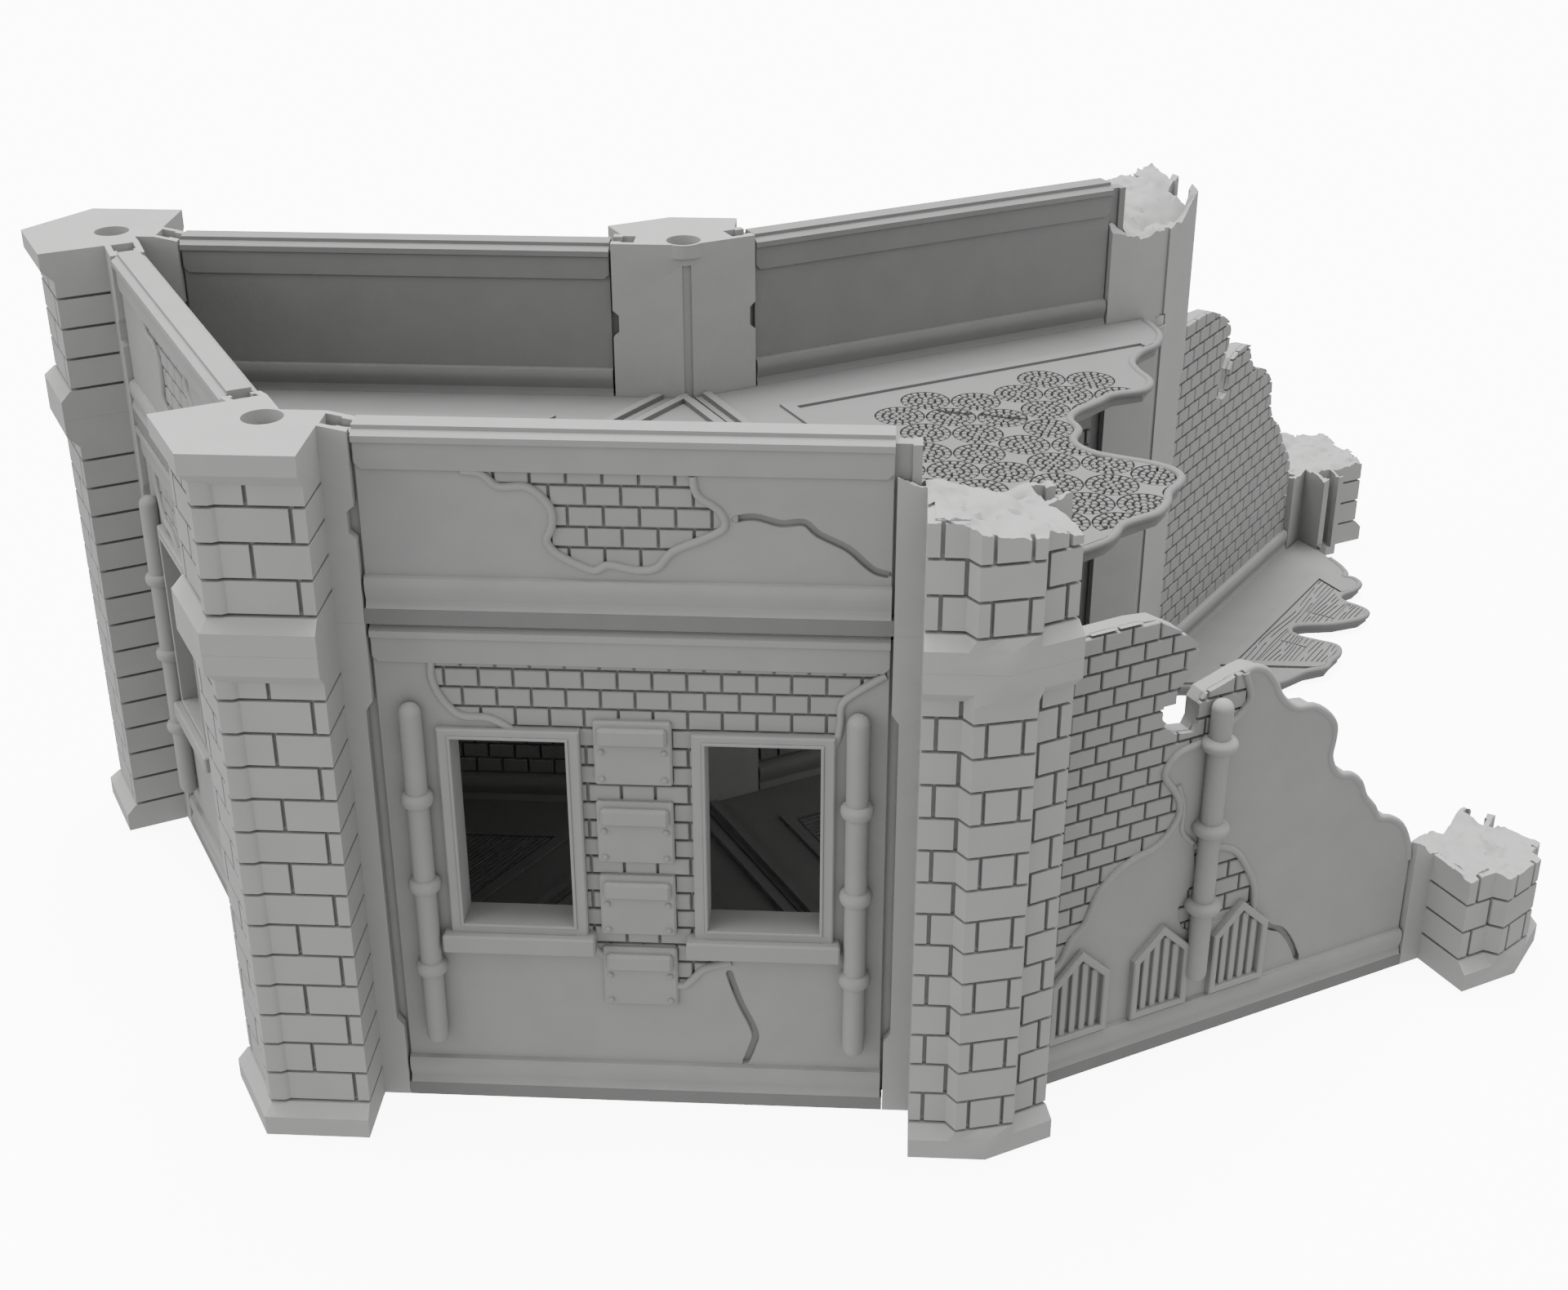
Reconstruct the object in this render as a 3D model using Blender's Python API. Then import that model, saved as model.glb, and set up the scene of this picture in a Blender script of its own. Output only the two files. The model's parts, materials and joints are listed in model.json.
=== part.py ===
"""Miniature terrain ruin: a modular two-storey corner ruin for tabletop games.

Pillars stand on a 100 mm triangular lattice. Wall panels slide into T-slots in the pillars,
floor tiles lie under the walls, and a loose disc locates each upper pillar on a lower one.
Lengths are in metres. Every solid is one closed body.
"""

import math

import bmesh
import bpy
from mathutils import Vector

MM = 0.001

# Lattice and storeys
PITCH = 100 * MM
LOWER_H = 84.2 * MM
UPPER_H = 30.1 * MM
REST = 0.02 * MM

# Pillars: distances along a wall (s) and across it (off)
FACE_OFF = 14 * MM
BRICK_OFF = 12 * MM
WING_S = 8.2 * MM
BASE_FACE = 3.4 * MM
BASE_TOP = 5.45 * MM
CAP_FACE = 3.1 * MM
CAP_LOW = 5.2 * MM
BLOCK_U = 13.35 * MM
BLOCK_V = 4.6 * MM
BLOCK_ROOT_V = 5.6 * MM
FLANGE_OFF = 2.9 * MM
FLANGE_S = 12.3 * MM
SLOT_ROOT_S = 8.4 * MM
SLOT_LIP_S = 10.7 * MM
SLOT_HALF = 1.9 * MM
LIP_HALF = 1.4 * MM
FLANGE_DROP = 0.9 * MM
FOOT_PLATE = 2.0 * MM
NOTCH_S = 11.25 * MM

# Sockets and the loose discs
SOCKET_R = 3.0 * MM
SOCKET_DEPTH = 2.2 * MM
BOSS_R = 3.4 * MM
BOSS_H = 2.4 * MM
DISC_R = 2.85 * MM
DISC_H = 4.2 * MM

# Walls
WALL_END_S = 12.7 * MM
TONGUE_S = 9.0 * MM
TONGUE_HEAD_S = 10.3 * MM
TONGUE_HEAD = 1.5 * MM
TONGUE_NECK = 1.0 * MM
PANEL_OFF = 1.9 * MM
FASCIA_OFF = 2.4 * MM
STRIP_OFF = 1.8 * MM

# Floor tiles
TILE_H = 2.4 * MM
TILE_GAP = 0.15 * MM
TILE_INNER = 3.2 * MM
TILE_END_S = 12.36 * MM
FIELD_FROM_WALL = 16.1 * MM
FIELD_FROM_SEAM = 13.7 * MM
BAND_W = 2.2 * MM
BAND_H = 0.5 * MM
RIB_NEAR = 1.35 * MM
RIB_W = 1.5 * MM
RIB_END = 3.7 * MM
RIB_H = 0.9 * MM


def clear_scene():
    for obj in list(bpy.data.objects):
        bpy.data.objects.remove(obj, do_unlink=True)


def unit(angle):
    turn = math.radians(angle)
    return Vector((math.cos(turn), math.sin(turn), 0))


# ---------------------------------------------------------------- lattice

P1 = Vector((0, 0, 0))
P7 = P1 + unit(0) * PITCH
P2 = P1 + unit(120) * PITCH
P3 = P2 + unit(0) * PITCH
P4 = P3 + unit(30) * PITCH
P6 = P7 + unit(30) * PITCH
P5 = P4 + unit(60) * PITCH
PX = P6 + unit(60) * PITCH


# ---------------------------------------------------------------- solids

def solid(name, bm):
    """Turns a bmesh into an object with outward faces."""
    bmesh.ops.remove_doubles(bm, verts=bm.verts, dist=1e-7)
    bmesh.ops.recalc_face_normals(bm, faces=bm.faces)
    mesh = bpy.data.meshes.new(name)
    bm.to_mesh(mesh)
    bm.free()
    obj = bpy.data.objects.new(name, mesh)
    bpy.context.scene.collection.objects.link(obj)
    return obj


def prism(name, outline, low, high):
    """A straight-sided block on a closed outline of (x, y), from z = low to high."""
    bm = bmesh.new()
    corners = [bm.verts.new((x, y, low)) for x, y in outline]
    face = bm.faces.new(corners)
    made = bmesh.ops.extrude_face_region(bm, geom=[face])
    moved = [item for item in made["geom"] if isinstance(item, bmesh.types.BMVert)]
    bmesh.ops.translate(bm, verts=moved, vec=(0, 0, high - low))
    return solid(name, bm)


def upright(name, outline, front, back):
    """A block on an outline of (s, z), standing, from off = back to off = front (off is -y)."""
    bm = bmesh.new()
    corners = [bm.verts.new((s, -back, z)) for s, z in outline]
    face = bm.faces.new(corners)
    made = bmesh.ops.extrude_face_region(bm, geom=[face])
    moved = [item for item in made["geom"] if isinstance(item, bmesh.types.BMVert)]
    bmesh.ops.translate(bm, verts=moved, vec=(0, back - front, 0))
    return solid(name, bm)


def along(name, profile, start, end):
    """A profile of (off, z) drawn along the wall from s = start to s = end."""
    bm = bmesh.new()
    corners = [bm.verts.new((start, -off, z)) for off, z in profile]
    face = bm.faces.new(corners)
    made = bmesh.ops.extrude_face_region(bm, geom=[face])
    moved = [item for item in made["geom"] if isinstance(item, bmesh.types.BMVert)]
    bmesh.ops.translate(bm, verts=moved, vec=(end - start, 0, 0))
    return solid(name, bm)


def block(name, low, high):
    outline = [(low[0], low[1]), (high[0], low[1]), (high[0], high[1]), (low[0], high[1])]
    return prism(name, outline, low[2], high[2])


def cylinder(name, radius, low, high, x=0.0, y=0.0, sides=32):
    outline = []
    for step in range(sides):
        turn = math.tau * step / sides
        outline.append((x + radius * math.cos(turn), y + radius * math.sin(turn)))
    return prism(name, outline, low, high)


def lathe(name, profile, x, y, sides=20):
    """Spins a profile of (radius, z) about a vertical line."""
    bm = bmesh.new()
    chain = [bm.verts.new((radius, 0, z)) for radius, z in profile]
    edges = [bm.edges.new(pair) for pair in zip(chain, chain[1:])]
    geom = chain + edges
    bmesh.ops.spin(bm, geom=geom, cent=(0, 0, 0), axis=(0, 0, 1), angle=math.tau,
                   steps=sides, use_merge=True)
    bmesh.ops.translate(bm, verts=bm.verts, vec=(x, y, 0))
    return solid(name, bm)


def combine(obj, other, operation):
    """Adds or takes away one solid and drops it afterwards."""
    step = obj.modifiers.new(operation.lower(), "BOOLEAN")
    step.operation = operation
    step.solver = "EXACT"
    step.object = other
    graph = bpy.context.evaluated_depsgraph_get()
    mesh = bpy.data.meshes.new_from_object(obj.evaluated_get(graph))
    obj.modifiers.clear()
    old = obj.data
    obj.data = mesh
    bpy.data.meshes.remove(old)
    bpy.data.objects.remove(other, do_unlink=True)
    return obj


def add(obj, other):
    return combine(obj, other, "UNION")


def cut(obj, other):
    return combine(obj, other, "DIFFERENCE")


def keep(obj, other):
    return combine(obj, other, "INTERSECT")


# ---------------------------------------------------------------- pillars

def wing_point(phi, s, off):
    """A point at s along the wing and off outwards, in the pillar's own axes."""
    side = 1 if phi > 0 else -1
    turn = math.radians(phi)
    x = s * math.cos(turn) + off * math.cos(turn - side * math.pi / 2)
    y = s * math.sin(turn) + off * math.sin(turn - side * math.pi / 2)
    return x, y


def chevron_u(off, v):
    tilt = math.radians(15)
    return (off - v * math.sin(tilt)) / math.cos(tilt)


def facade_half(phi, off, with_block):
    """Facade points from the middle to the wing end, for the wing on the +v side."""
    if phi == 120:
        return [(off / math.cos(math.radians(30)), 0.0), wing_point(phi, WING_S, off)]
    if phi == 150:
        return [(off, off * math.tan(math.radians(30))), wing_point(phi, WING_S, off)]
    tip = BLOCK_U if with_block else off / math.cos(math.radians(15))
    shoulder = BLOCK_U if with_block else chevron_u(off, BLOCK_V)
    half = [(tip, 0.0), (shoulder, BLOCK_V), (chevron_u(off, BLOCK_ROOT_V), BLOCK_ROOT_V)]
    half.append(wing_point(105, WING_S, off))
    if phi == 75:
        corner = wing_point(75, 11.14 * MM, FLANGE_OFF)
        half.append(corner)
    return half


def flange_half(phi):
    """The flange points of one wing, from the outer root to the inner corner."""
    points = []
    if phi != 75:
        points.append(wing_point(phi, WING_S, FLANGE_OFF))
    points.append(wing_point(phi, FLANGE_S, FLANGE_OFF))
    points.append(wing_point(phi, FLANGE_S, -FLANGE_OFF))
    return points


def slot_cutter(phi, low, high):
    """The T-shaped slot that holds a wall's tongue."""
    half = [(13 * MM, LIP_HALF), (SLOT_LIP_S, LIP_HALF), (SLOT_LIP_S, SLOT_HALF)]
    half.append((SLOT_ROOT_S, SLOT_HALF))
    outline = half + [(s, -off) for s, off in reversed(half)]
    return prism("slot", [wing_point(phi, s, off) for s, off in outline], low, high)


def pillar_outline(phi, off, with_block):
    half = facade_half(phi, off, with_block) + flange_half(phi)
    inner = (-FLANGE_OFF / math.sin(math.radians(phi)), 0.0)
    mirrored = [(x, -y) for x, y in reversed(half) if abs(y) > 1e-9]
    return half + [inner] + mirrored


def pillar(name, phi, height, bottom_socket, foot_plate):
    """One pillar segment: a section drawn up through its base, brick face and cap."""
    levels = [
        (0.0, FACE_OFF, False),
        (BASE_FACE, FACE_OFF, False),
        (BASE_TOP, BRICK_OFF, True),
        (height - CAP_LOW, BRICK_OFF, True),
        (height - CAP_FACE, FACE_OFF, False),
        (height, FACE_OFF, False),
    ]
    bm = bmesh.new()
    rings = []
    for z, off, with_block in levels:
        outline = pillar_outline(phi, off, with_block)
        rings.append([bm.verts.new((x, y, z)) for x, y in outline])
    for low, high in zip(rings, rings[1:]):
        count = len(low)
        for step in range(count):
            after = (step + 1) % count
            bm.faces.new((low[step], low[after], high[after], high[step]))
    bm.faces.new(rings[0][::-1])
    bm.faces.new(rings[-1])
    obj = solid(name, bm)
    obj = add(obj, cylinder("boss", BOSS_R, height - BOSS_H, height))
    obj = cut(obj, cylinder("socket", SOCKET_R, height - SOCKET_DEPTH, height + MM))
    if bottom_socket:
        obj = cut(obj, cylinder("socket", SOCKET_R, -MM, SOCKET_DEPTH))
    start = FOOT_PLATE if foot_plate else -MM
    for side in (1, -1):
        obj = cut(obj, slot_cutter(phi * side, start, height + MM))
    return obj


def flange_slope(obj, phi, height):
    """Slopes the tops of the flanges down to their free ends."""
    if phi == 75:
        return obj
    for side in (1, -1):
        bm = bmesh.new()
        rows = []
        for off in (-3.4 * MM, 3.4 * MM):
            rows.append([
                bm.verts.new((*wing_point(phi * side, 8.35 * MM, off), height)),
                bm.verts.new((*wing_point(phi * side, 12.9 * MM, off), height - FLANGE_DROP)),
                bm.verts.new((*wing_point(phi * side, 12.9 * MM, off), height + MM)),
            ])
        bm.faces.new(rows[0])
        bm.faces.new(rows[1][::-1])
        for step in range(3):
            after = (step + 1) % 3
            bm.faces.new((rows[0][step], rows[1][step], rows[1][after], rows[0][after]))
        obj = cut(obj, solid("slope", bm))
    return obj


def flange_notch(obj, phi, low, high, taper):
    """Cuts the free edges of both flanges back over part of the height."""
    for side in (1, -1):
        bm = bmesh.new()
        rows = []
        for off in (-3.3 * MM, 3.3 * MM):
            row = []
            for s, z in ((13 * MM, low), (13 * MM, high), (NOTCH_S, high - taper), (NOTCH_S, low + taper)):
                row.append(bm.verts.new((*wing_point(phi * side, s, off), z)))
            rows.append(row)
        bm.faces.new(rows[0])
        bm.faces.new(rows[1][::-1])
        for step in range(4):
            after = (step + 1) % 4
            bm.faces.new((rows[0][step], rows[1][step], rows[1][after], rows[0][after]))
        obj = cut(obj, solid("notch", bm))
    return obj


def break_top(obj, surface, reach=22 * MM, parts=14):
    """Takes off everything above a rough surface z = surface(u, v)."""
    bm = bmesh.new()
    bmesh.ops.create_grid(bm, x_segments=parts, y_segments=parts, size=reach)
    for vert in bm.verts:
        vert.co.z = surface(vert.co.x / MM, vert.co.y / MM) * MM
    made = bmesh.ops.extrude_face_region(bm, geom=list(bm.faces))
    for item in made["geom"]:
        if isinstance(item, bmesh.types.BMVert):
            item.co.z = 0.2
    return cut(obj, solid("rubble", bm))


def ripple(u, v):
    return 0.35 * math.sin(u * 0.55 + 1.3 * v * 0.4) + 0.3 * math.cos(v * 0.6 - u * 0.25)


def front_break(u, v):
    flange = max(0.0, abs(v) - 9.5) * 0.5 if u < 2 else 0.0
    return 21.2 - 0.17 * v - 0.02 * u + flange + ripple(u, v)


def back_break(u, v):
    rise = 6.0 * (1 - math.exp(-max(u, 0) / 5.0))
    return 20.4 + rise - 0.12 * v + max(0.0, abs(v) - 6) * 0.25 + ripple(u, v)


def right_break(u, v):
    flange = max(0.0, abs(v) - 9.5) * 1.1 if (u < 2 and v < 0) else 0.0
    return 21.6 - 0.06 * v + flange + ripple(u, v)


def far_break(u, v):
    return 22.2 + 0.10 * u + ripple(u, v)


# ---------------------------------------------------------------- walls

def wall_profile(low, top):
    """The wall's section, as (off, z), on both faces: foot moulding, panel, fascia and lip."""
    half = [
        (2.9 * MM, low + REST),
        (2.45 * MM, low + 1.3 * MM),
        (2.9 * MM, low + 2.8 * MM),
        (2.9 * MM, low + 4.7 * MM),
        (PANEL_OFF, low + 5.2 * MM),
        (PANEL_OFF, top - 6.4 * MM),
        (FASCIA_OFF, top - 6.4 * MM),
        (FASCIA_OFF, top - 2.45 * MM),
        (2.9 * MM, top - 2.45 * MM),
        (2.9 * MM, top - 1.25 * MM),
        (STRIP_OFF, top - 0.6 * MM),
        (STRIP_OFF, top),
    ]
    return half + [(-off, z) for off, z in reversed(half)]


def tongue(low, top, flip):
    """The T-shaped tongue that runs in a pillar's slot."""
    outline = [
        (TONGUE_S, -TONGUE_HEAD),
        (TONGUE_HEAD_S, -TONGUE_HEAD),
        (TONGUE_HEAD_S, -TONGUE_NECK),
        (13.5 * MM, -TONGUE_NECK),
        (13.5 * MM, TONGUE_NECK),
        (TONGUE_HEAD_S, TONGUE_NECK),
        (TONGUE_HEAD_S, TONGUE_HEAD),
        (TONGUE_S, TONGUE_HEAD),
    ]
    if flip:
        outline = [(PITCH - s, off) for s, off in outline]
    return prism("tongue", outline, low, top)


def wall(name, top):
    """A full panel between two pillars; z is counted from the storey's base."""
    obj = along(name, wall_profile(TILE_H, top), WALL_END_S, PITCH - WALL_END_S)
    obj = add(obj, tongue(TILE_H + REST, top - 1.5 * MM, False))
    obj = add(obj, tongue(TILE_H + REST, top - 1.5 * MM, True))
    return obj


def pipe(obj, s, off, low, high, radius, collars, collar_radius):
    """A moulded pipe with domed ends and collars."""
    outline = [(0.0, low)]
    for step in range(1, 4):
        turn = math.pi / 2 * step / 3
        outline.append((radius * math.sin(turn), low + radius * (1 - math.cos(turn))))
    for z in collars:
        outline.append((radius, z - 1.0 * MM))
        outline.append((collar_radius, z - 0.7 * MM))
        outline.append((collar_radius, z + 0.7 * MM))
        outline.append((radius, z + 1.0 * MM))
    for step in range(3, 0, -1):
        turn = math.pi / 2 * step / 3
        outline.append((radius * math.sin(turn), high - radius * (1 - math.cos(turn))))
    outline.append((0.0, high))
    return add(obj, lathe("pipe", outline, s, -off))


def window(obj, middle):
    """A framed opening with a sill, and the opening cut through."""
    frame = block("frame", (middle - 10.6 * MM, -3.2 * MM, 31 * MM),
                  (middle + 10.6 * MM, 2.8 * MM, 67.3 * MM))
    obj = add(obj, frame)
    sill = block("sill", (middle - 11.7 * MM, -4.5 * MM, 28.4 * MM),
                 (middle + 11.7 * MM, 2.7 * MM, 31.8 * MM))
    obj = add(obj, sill)
    opening = block("opening", (middle - 8.48 * MM, -8 * MM, 33.3 * MM),
                    (middle + 8.48 * MM, 8 * MM, 65.7 * MM))
    return cut(obj, opening)


def plates(obj):
    """Four riveted plates between the windows."""
    for top in (69.0, 55.4, 42.4, 29.3):
        plate = block("plate", (44.25 * MM, -2.95 * MM, (top - 10.7) * MM),
                      (55.75 * MM, -1 * MM, top * MM))
        obj = add(obj, plate)
    return obj


def windowed_wall(name):
    obj = wall(name, LOWER_H - REST)
    obj = window(obj, 31.67 * MM)
    obj = window(obj, 69.1 * MM)
    obj = plates(obj)
    for s in (17.7 * MM, 83.0 * MM):
        collars = [25.45 * MM, 40.5 * MM, 55.6 * MM]
        obj = pipe(obj, s, 3.3 * MM, 11 * MM, 71.7 * MM, 1.7 * MM, collars, 2.5 * MM)
    return obj


def grating(obj, middle):
    """A house-shaped grating with upright bars."""
    shell = [(-5.5, 7.8), (5.5, 7.8), (5.5, 18.9), (0, 24.2), (-5.5, 18.9)]
    well = [(-4.4, 8.9), (4.4, 8.9), (4.4, 18.4), (0, 22.6), (-4.4, 18.4)]
    outline = [(middle + x * MM, z * MM) for x, z in shell]
    obj = add(obj, upright("shell", outline, 3.2 * MM, 1 * MM))
    outline = [(middle + x * MM, z * MM) for x, z in well]
    obj = cut(obj, upright("well", outline, 4 * MM, 2.0 * MM))
    for x in (-2.7, -0.9, 0.9, 2.7):
        top = (22.9 - abs(x) * 0.95) * MM
        bar = block("bar", (middle + (x - 0.55) * MM, -2.9 * MM, 8.4 * MM),
                    (middle + (x + 0.55) * MM, -1.5 * MM, top))
        obj = add(obj, bar)
    return obj


RIGHT_WALL_EDGE = [
    (5, 0), (5, 79.2), (13, 79.4), (19, 79.7), (26, 79.8), (30, 79.4), (34.5, 76.8), (37.9, 74),
    (38, 71), (36, 70.4), (37, 68.6), (34.6, 67), (34.6, 64.4), (32.4, 64.4), (32.3, 62.4),
    (33.4, 60.1), (35, 59), (38.4, 58.5), (39.1, 60), (39.1, 63.2), (40.2, 64.8), (43, 65.6),
    (46.6, 66.8), (48.8, 67.2), (51.2, 66.2), (53.2, 63.8), (54.6, 61.2), (56.4, 59.1), (58.6, 57.7),
    (61.9, 57.2), (65, 55), (66.7, 52.6), (66.9, 50), (66.6, 47), (67.6, 44.4), (69.4, 42.6),
    (71.6, 42), (73.8, 40), (75.2, 37), (77.4, 34.4), (78.9, 31.9), (81.5, 31), (84.4, 28.8),
    (86.4, 25), (87, 21.4), (88.6, 19), (90, 17), (95, 16), (95, 0),
]

FAR_WALL_EDGE = [
    (5, 0), (5, 78.4), (14.4, 79.4), (22.6, 79.4), (29, 78.6), (33.8, 76.7), (38.6, 74), (40.2, 71.6),
    (39.8, 68.6), (37, 64.1), (35.8, 60), (36.6, 57.2), (38.6, 56.2), (41, 56.8), (41.8, 59),
    (41.8, 62), (43.2, 64), (46, 65), (49.6, 65.2), (52.8, 64.4), (54, 61), (56.4, 58.2),
    (60, 57), (63.6, 55.6), (66.4, 53.4), (68.8, 50.8), (69.2, 47), (70.2, 43.4), (72.6, 40.4),
    (76, 38.4), (78, 36), (80.6, 32), (84, 28.8), (86.4, 26), (88.2, 22.4), (90, 19), (93, 17),
    (95, 16), (95, 0),
]


def broken_profile(top):
    """A broken wall's section: foot moulding and plain panel only."""
    half = [
        (2.9 * MM, TILE_H + REST),
        (2.45 * MM, TILE_H + 1.3 * MM),
        (2.9 * MM, TILE_H + 2.8 * MM),
        (2.9 * MM, TILE_H + 4.7 * MM),
        (PANEL_OFF, TILE_H + 5.2 * MM),
        (PANEL_OFF, top),
    ]
    return half + [(-off, z) for off, z in reversed(half)]


def ruined_wall(name, edge):
    top = 81 * MM
    obj = along(name, broken_profile(top), WALL_END_S, PITCH - WALL_END_S)
    obj = add(obj, tongue(TILE_H + REST, top, False))
    obj = add(obj, tongue(TILE_H + REST, top, True))
    outline = [(s * MM, z * MM) for s, z in edge]
    return keep(obj, upright("silhouette", outline, 9 * MM, -9 * MM))


def right_wall(name):
    obj = ruined_wall(name, RIGHT_WALL_EDGE)
    for middle in (19.9 * MM, 35.6 * MM, 51.3 * MM):
        obj = grating(obj, middle)
    collars = [26.6 * MM, 41.2 * MM, 56.4 * MM]
    return pipe(obj, 42.3 * MM, 3.4 * MM, 12 * MM, 64.2 * MM, 1.75 * MM, collars, 3.0 * MM)


# ---------------------------------------------------------------- floor tiles

def inset_point(before, corner, after, reach_before, reach_after):
    """Where two edges of a polygon meet once each is moved inwards (left of its direction)."""
    first = (corner - before).normalized()
    second = (after - corner).normalized()
    left_first = Vector((-first.y, first.x, 0))
    left_second = Vector((-second.y, second.x, 0))
    start = corner + left_first * reach_before
    other = corner + left_second * reach_after
    crossing = first.x * second.y - first.y * second.x
    gap = other - start
    along_first = (gap.x * second.y - gap.y * second.x) / crossing
    return start + first * along_first


def tile_outline(corners, walled):
    """Corners run anticlockwise; a walled edge reaches out under its wall between the pillars."""
    outline = []
    count = len(corners)
    for step in range(count):
        before = corners[step - 1]
        corner = corners[step]
        after = corners[(step + 1) % count]
        reach_before = TILE_INNER if walled[step - 1] else TILE_GAP
        reach_after = TILE_INNER if walled[step] else TILE_GAP
        outline.append(inset_point(before, corner, after, reach_before, reach_after))
        if walled[step]:
            ahead = (after - corner).normalized()
            left = Vector((-ahead.y, ahead.x, 0))
            near = corner + ahead * TILE_END_S
            far = after - ahead * TILE_END_S
            outline.append(near + left * TILE_INNER)
            outline.append(near - left * FLANGE_OFF)
            outline.append(far - left * FLANGE_OFF)
            outline.append(far + left * TILE_INNER)
    return [(point.x, point.y) for point in outline]


def tile(name, corners, walled, level):
    outline = tile_outline(corners, walled)
    return prism(name, outline, level, level + TILE_H)


def trim_corner(obj, corner, bisector, phi, level):
    """Cuts the pillar's footprint, with clearance, out of a tile's corner."""
    reach = FLANGE_OFF + 0.3 * MM
    points = []
    for side in (1, -1):
        angle = bisector + side * phi
        ahead = unit(angle)
        outward = unit(angle - side * 90)
        start = corner - ahead * 1.2 * MM
        end = corner + ahead * TILE_END_S
        line = [start - outward * reach, end - outward * reach]
        line += [end + outward * reach, start + outward * reach]
        points.append(line)
    for line in points:
        outline = [(point.x, point.y) for point in line]
        obj = cut(obj, prism("trim", outline, level - MM, level + 2 * TILE_H))
    return obj


def field_frame(obj, corners, walled, level):
    """A raised band round the tile's inner field."""
    outer = []
    inner = []
    count = len(corners)
    for step in range(count):
        before = corners[step - 1]
        corner = corners[step]
        after = corners[(step + 1) % count]
        first = FIELD_FROM_WALL if walled[step - 1] else FIELD_FROM_SEAM
        second = FIELD_FROM_WALL if walled[step] else FIELD_FROM_SEAM
        inner.append(inset_point(before, corner, after, first, second))
        outer.append(inset_point(before, corner, after, first - BAND_W, second - BAND_W))
    top = level + TILE_H
    ring = prism("ring", [(p.x, p.y) for p in outer], top - MM, top + BAND_H)
    ring = cut(ring, prism("hole", [(p.x, p.y) for p in inner], top - 2 * MM, top + MM))
    return add(obj, ring)


def seam_ribs(obj, corners, walled, level):
    """A low rib beside each edge that meets another tile."""
    count = len(corners)
    for step in range(count):
        if walled[step]:
            continue
        before = corners[step - 1]
        corner = corners[step]
        after = corners[(step + 1) % count]
        beyond = corners[(step + 2) % count]
        first = RIB_END if walled[step - 1] else RIB_NEAR + 0.1 * MM
        last = RIB_END if walled[(step + 1) % count] else RIB_NEAR + 0.1 * MM
        points = [
            inset_point(before, corner, after, first, RIB_NEAR),
            inset_point(corner, after, beyond, RIB_NEAR, last),
            inset_point(corner, after, beyond, RIB_NEAR + RIB_W, last),
            inset_point(before, corner, after, first, RIB_NEAR + RIB_W),
        ]
        outline = [(p.x, p.y) for p in points]
        obj = add(obj, prism("rib", outline, level + TILE_H - MM, level + TILE_H + RIB_H))
    return obj


UPPER_SQUARE_LOST = [
    (134.4, 140), (135, 131), (137, 123.5), (135.8, 117), (132.4, 112.5), (130.4, 107), (131.2, 102),
    (132.8, 97), (131.2, 92.4), (125.4, 89.6), (122.6, 86), (118.4, 81), (117.2, 77), (118.4, 72.6),
    (117.2, 68), (118, 64.6), (120.4, 61.8), (124, 60), (129, 58), (132.4, 55.6), (133.7, 52.6),
    (132.8, 49.2), (131, 46), (130.2, 41.6), (128.3, 37.6), (125.6, 35.4), (122.4, 32.6), (121, 29),
    (119.2, 26.2), (116, 23.4), (112.6, 20.6), (110.6, 17), (109.4, 13), (107.4, 9.6),
    (103.5, 2), (110, -4), (196, 46), (150, 150), (136, 150),
]

GROUND_TRIANGLE_LOST = [
    (146, 130), (146.4, 137.4), (149.5, 138.4), (155, 138.6), (160, 138.2), (166, 139.4), (171.6, 141.8),
    (177, 146.6), (182, 149), (183.6, 152), (186.2, 156), (186.2, 159.4), (182, 161.6), (178.6, 163.4),
    (177, 166), (178, 168.8), (181.6, 169.8), (187.2, 170.6), (193.6, 173.4), (196.2, 176.8),
    (194.6, 179.6), (192, 181.6), (191, 184), (192, 186.2), (195, 188.6), (197.2, 192), (196.4, 194.8),
    (194.4, 196), (195, 198), (194.4, 201.6), (192.6, 206), (190.6, 210), (196, 216), (260, 150),
    (250, 110), (150, 110),
]


def lost(obj, outline, level):
    points = [(x * MM, y * MM) for x, y in outline]
    return cut(obj, prism("lost", points, level - 2 * MM, level + 3 * TILE_H))


# ---------------------------------------------------------------- looks

def printed_plastic(name):
    material = bpy.data.materials.new(name + "_plastic")
    material.use_nodes = True
    shader = material.node_tree.nodes["Principled BSDF"]
    shader.inputs["Base Color"].default_value = (0.52, 0.52, 0.51, 1)
    shader.inputs["Roughness"].default_value = 0.7
    material.diffuse_color = (0.62, 0.62, 0.61, 1)
    return material


def place(obj, corner, angle, level, parent):
    obj.location = (corner.x, corner.y, level)
    obj.rotation_euler = (0, 0, math.radians(angle))
    obj.parent = parent
    obj.data.materials.clear()
    obj.data.materials.append(printed_plastic(obj.name))
    return obj


# ---------------------------------------------------------------- the assembly

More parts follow.
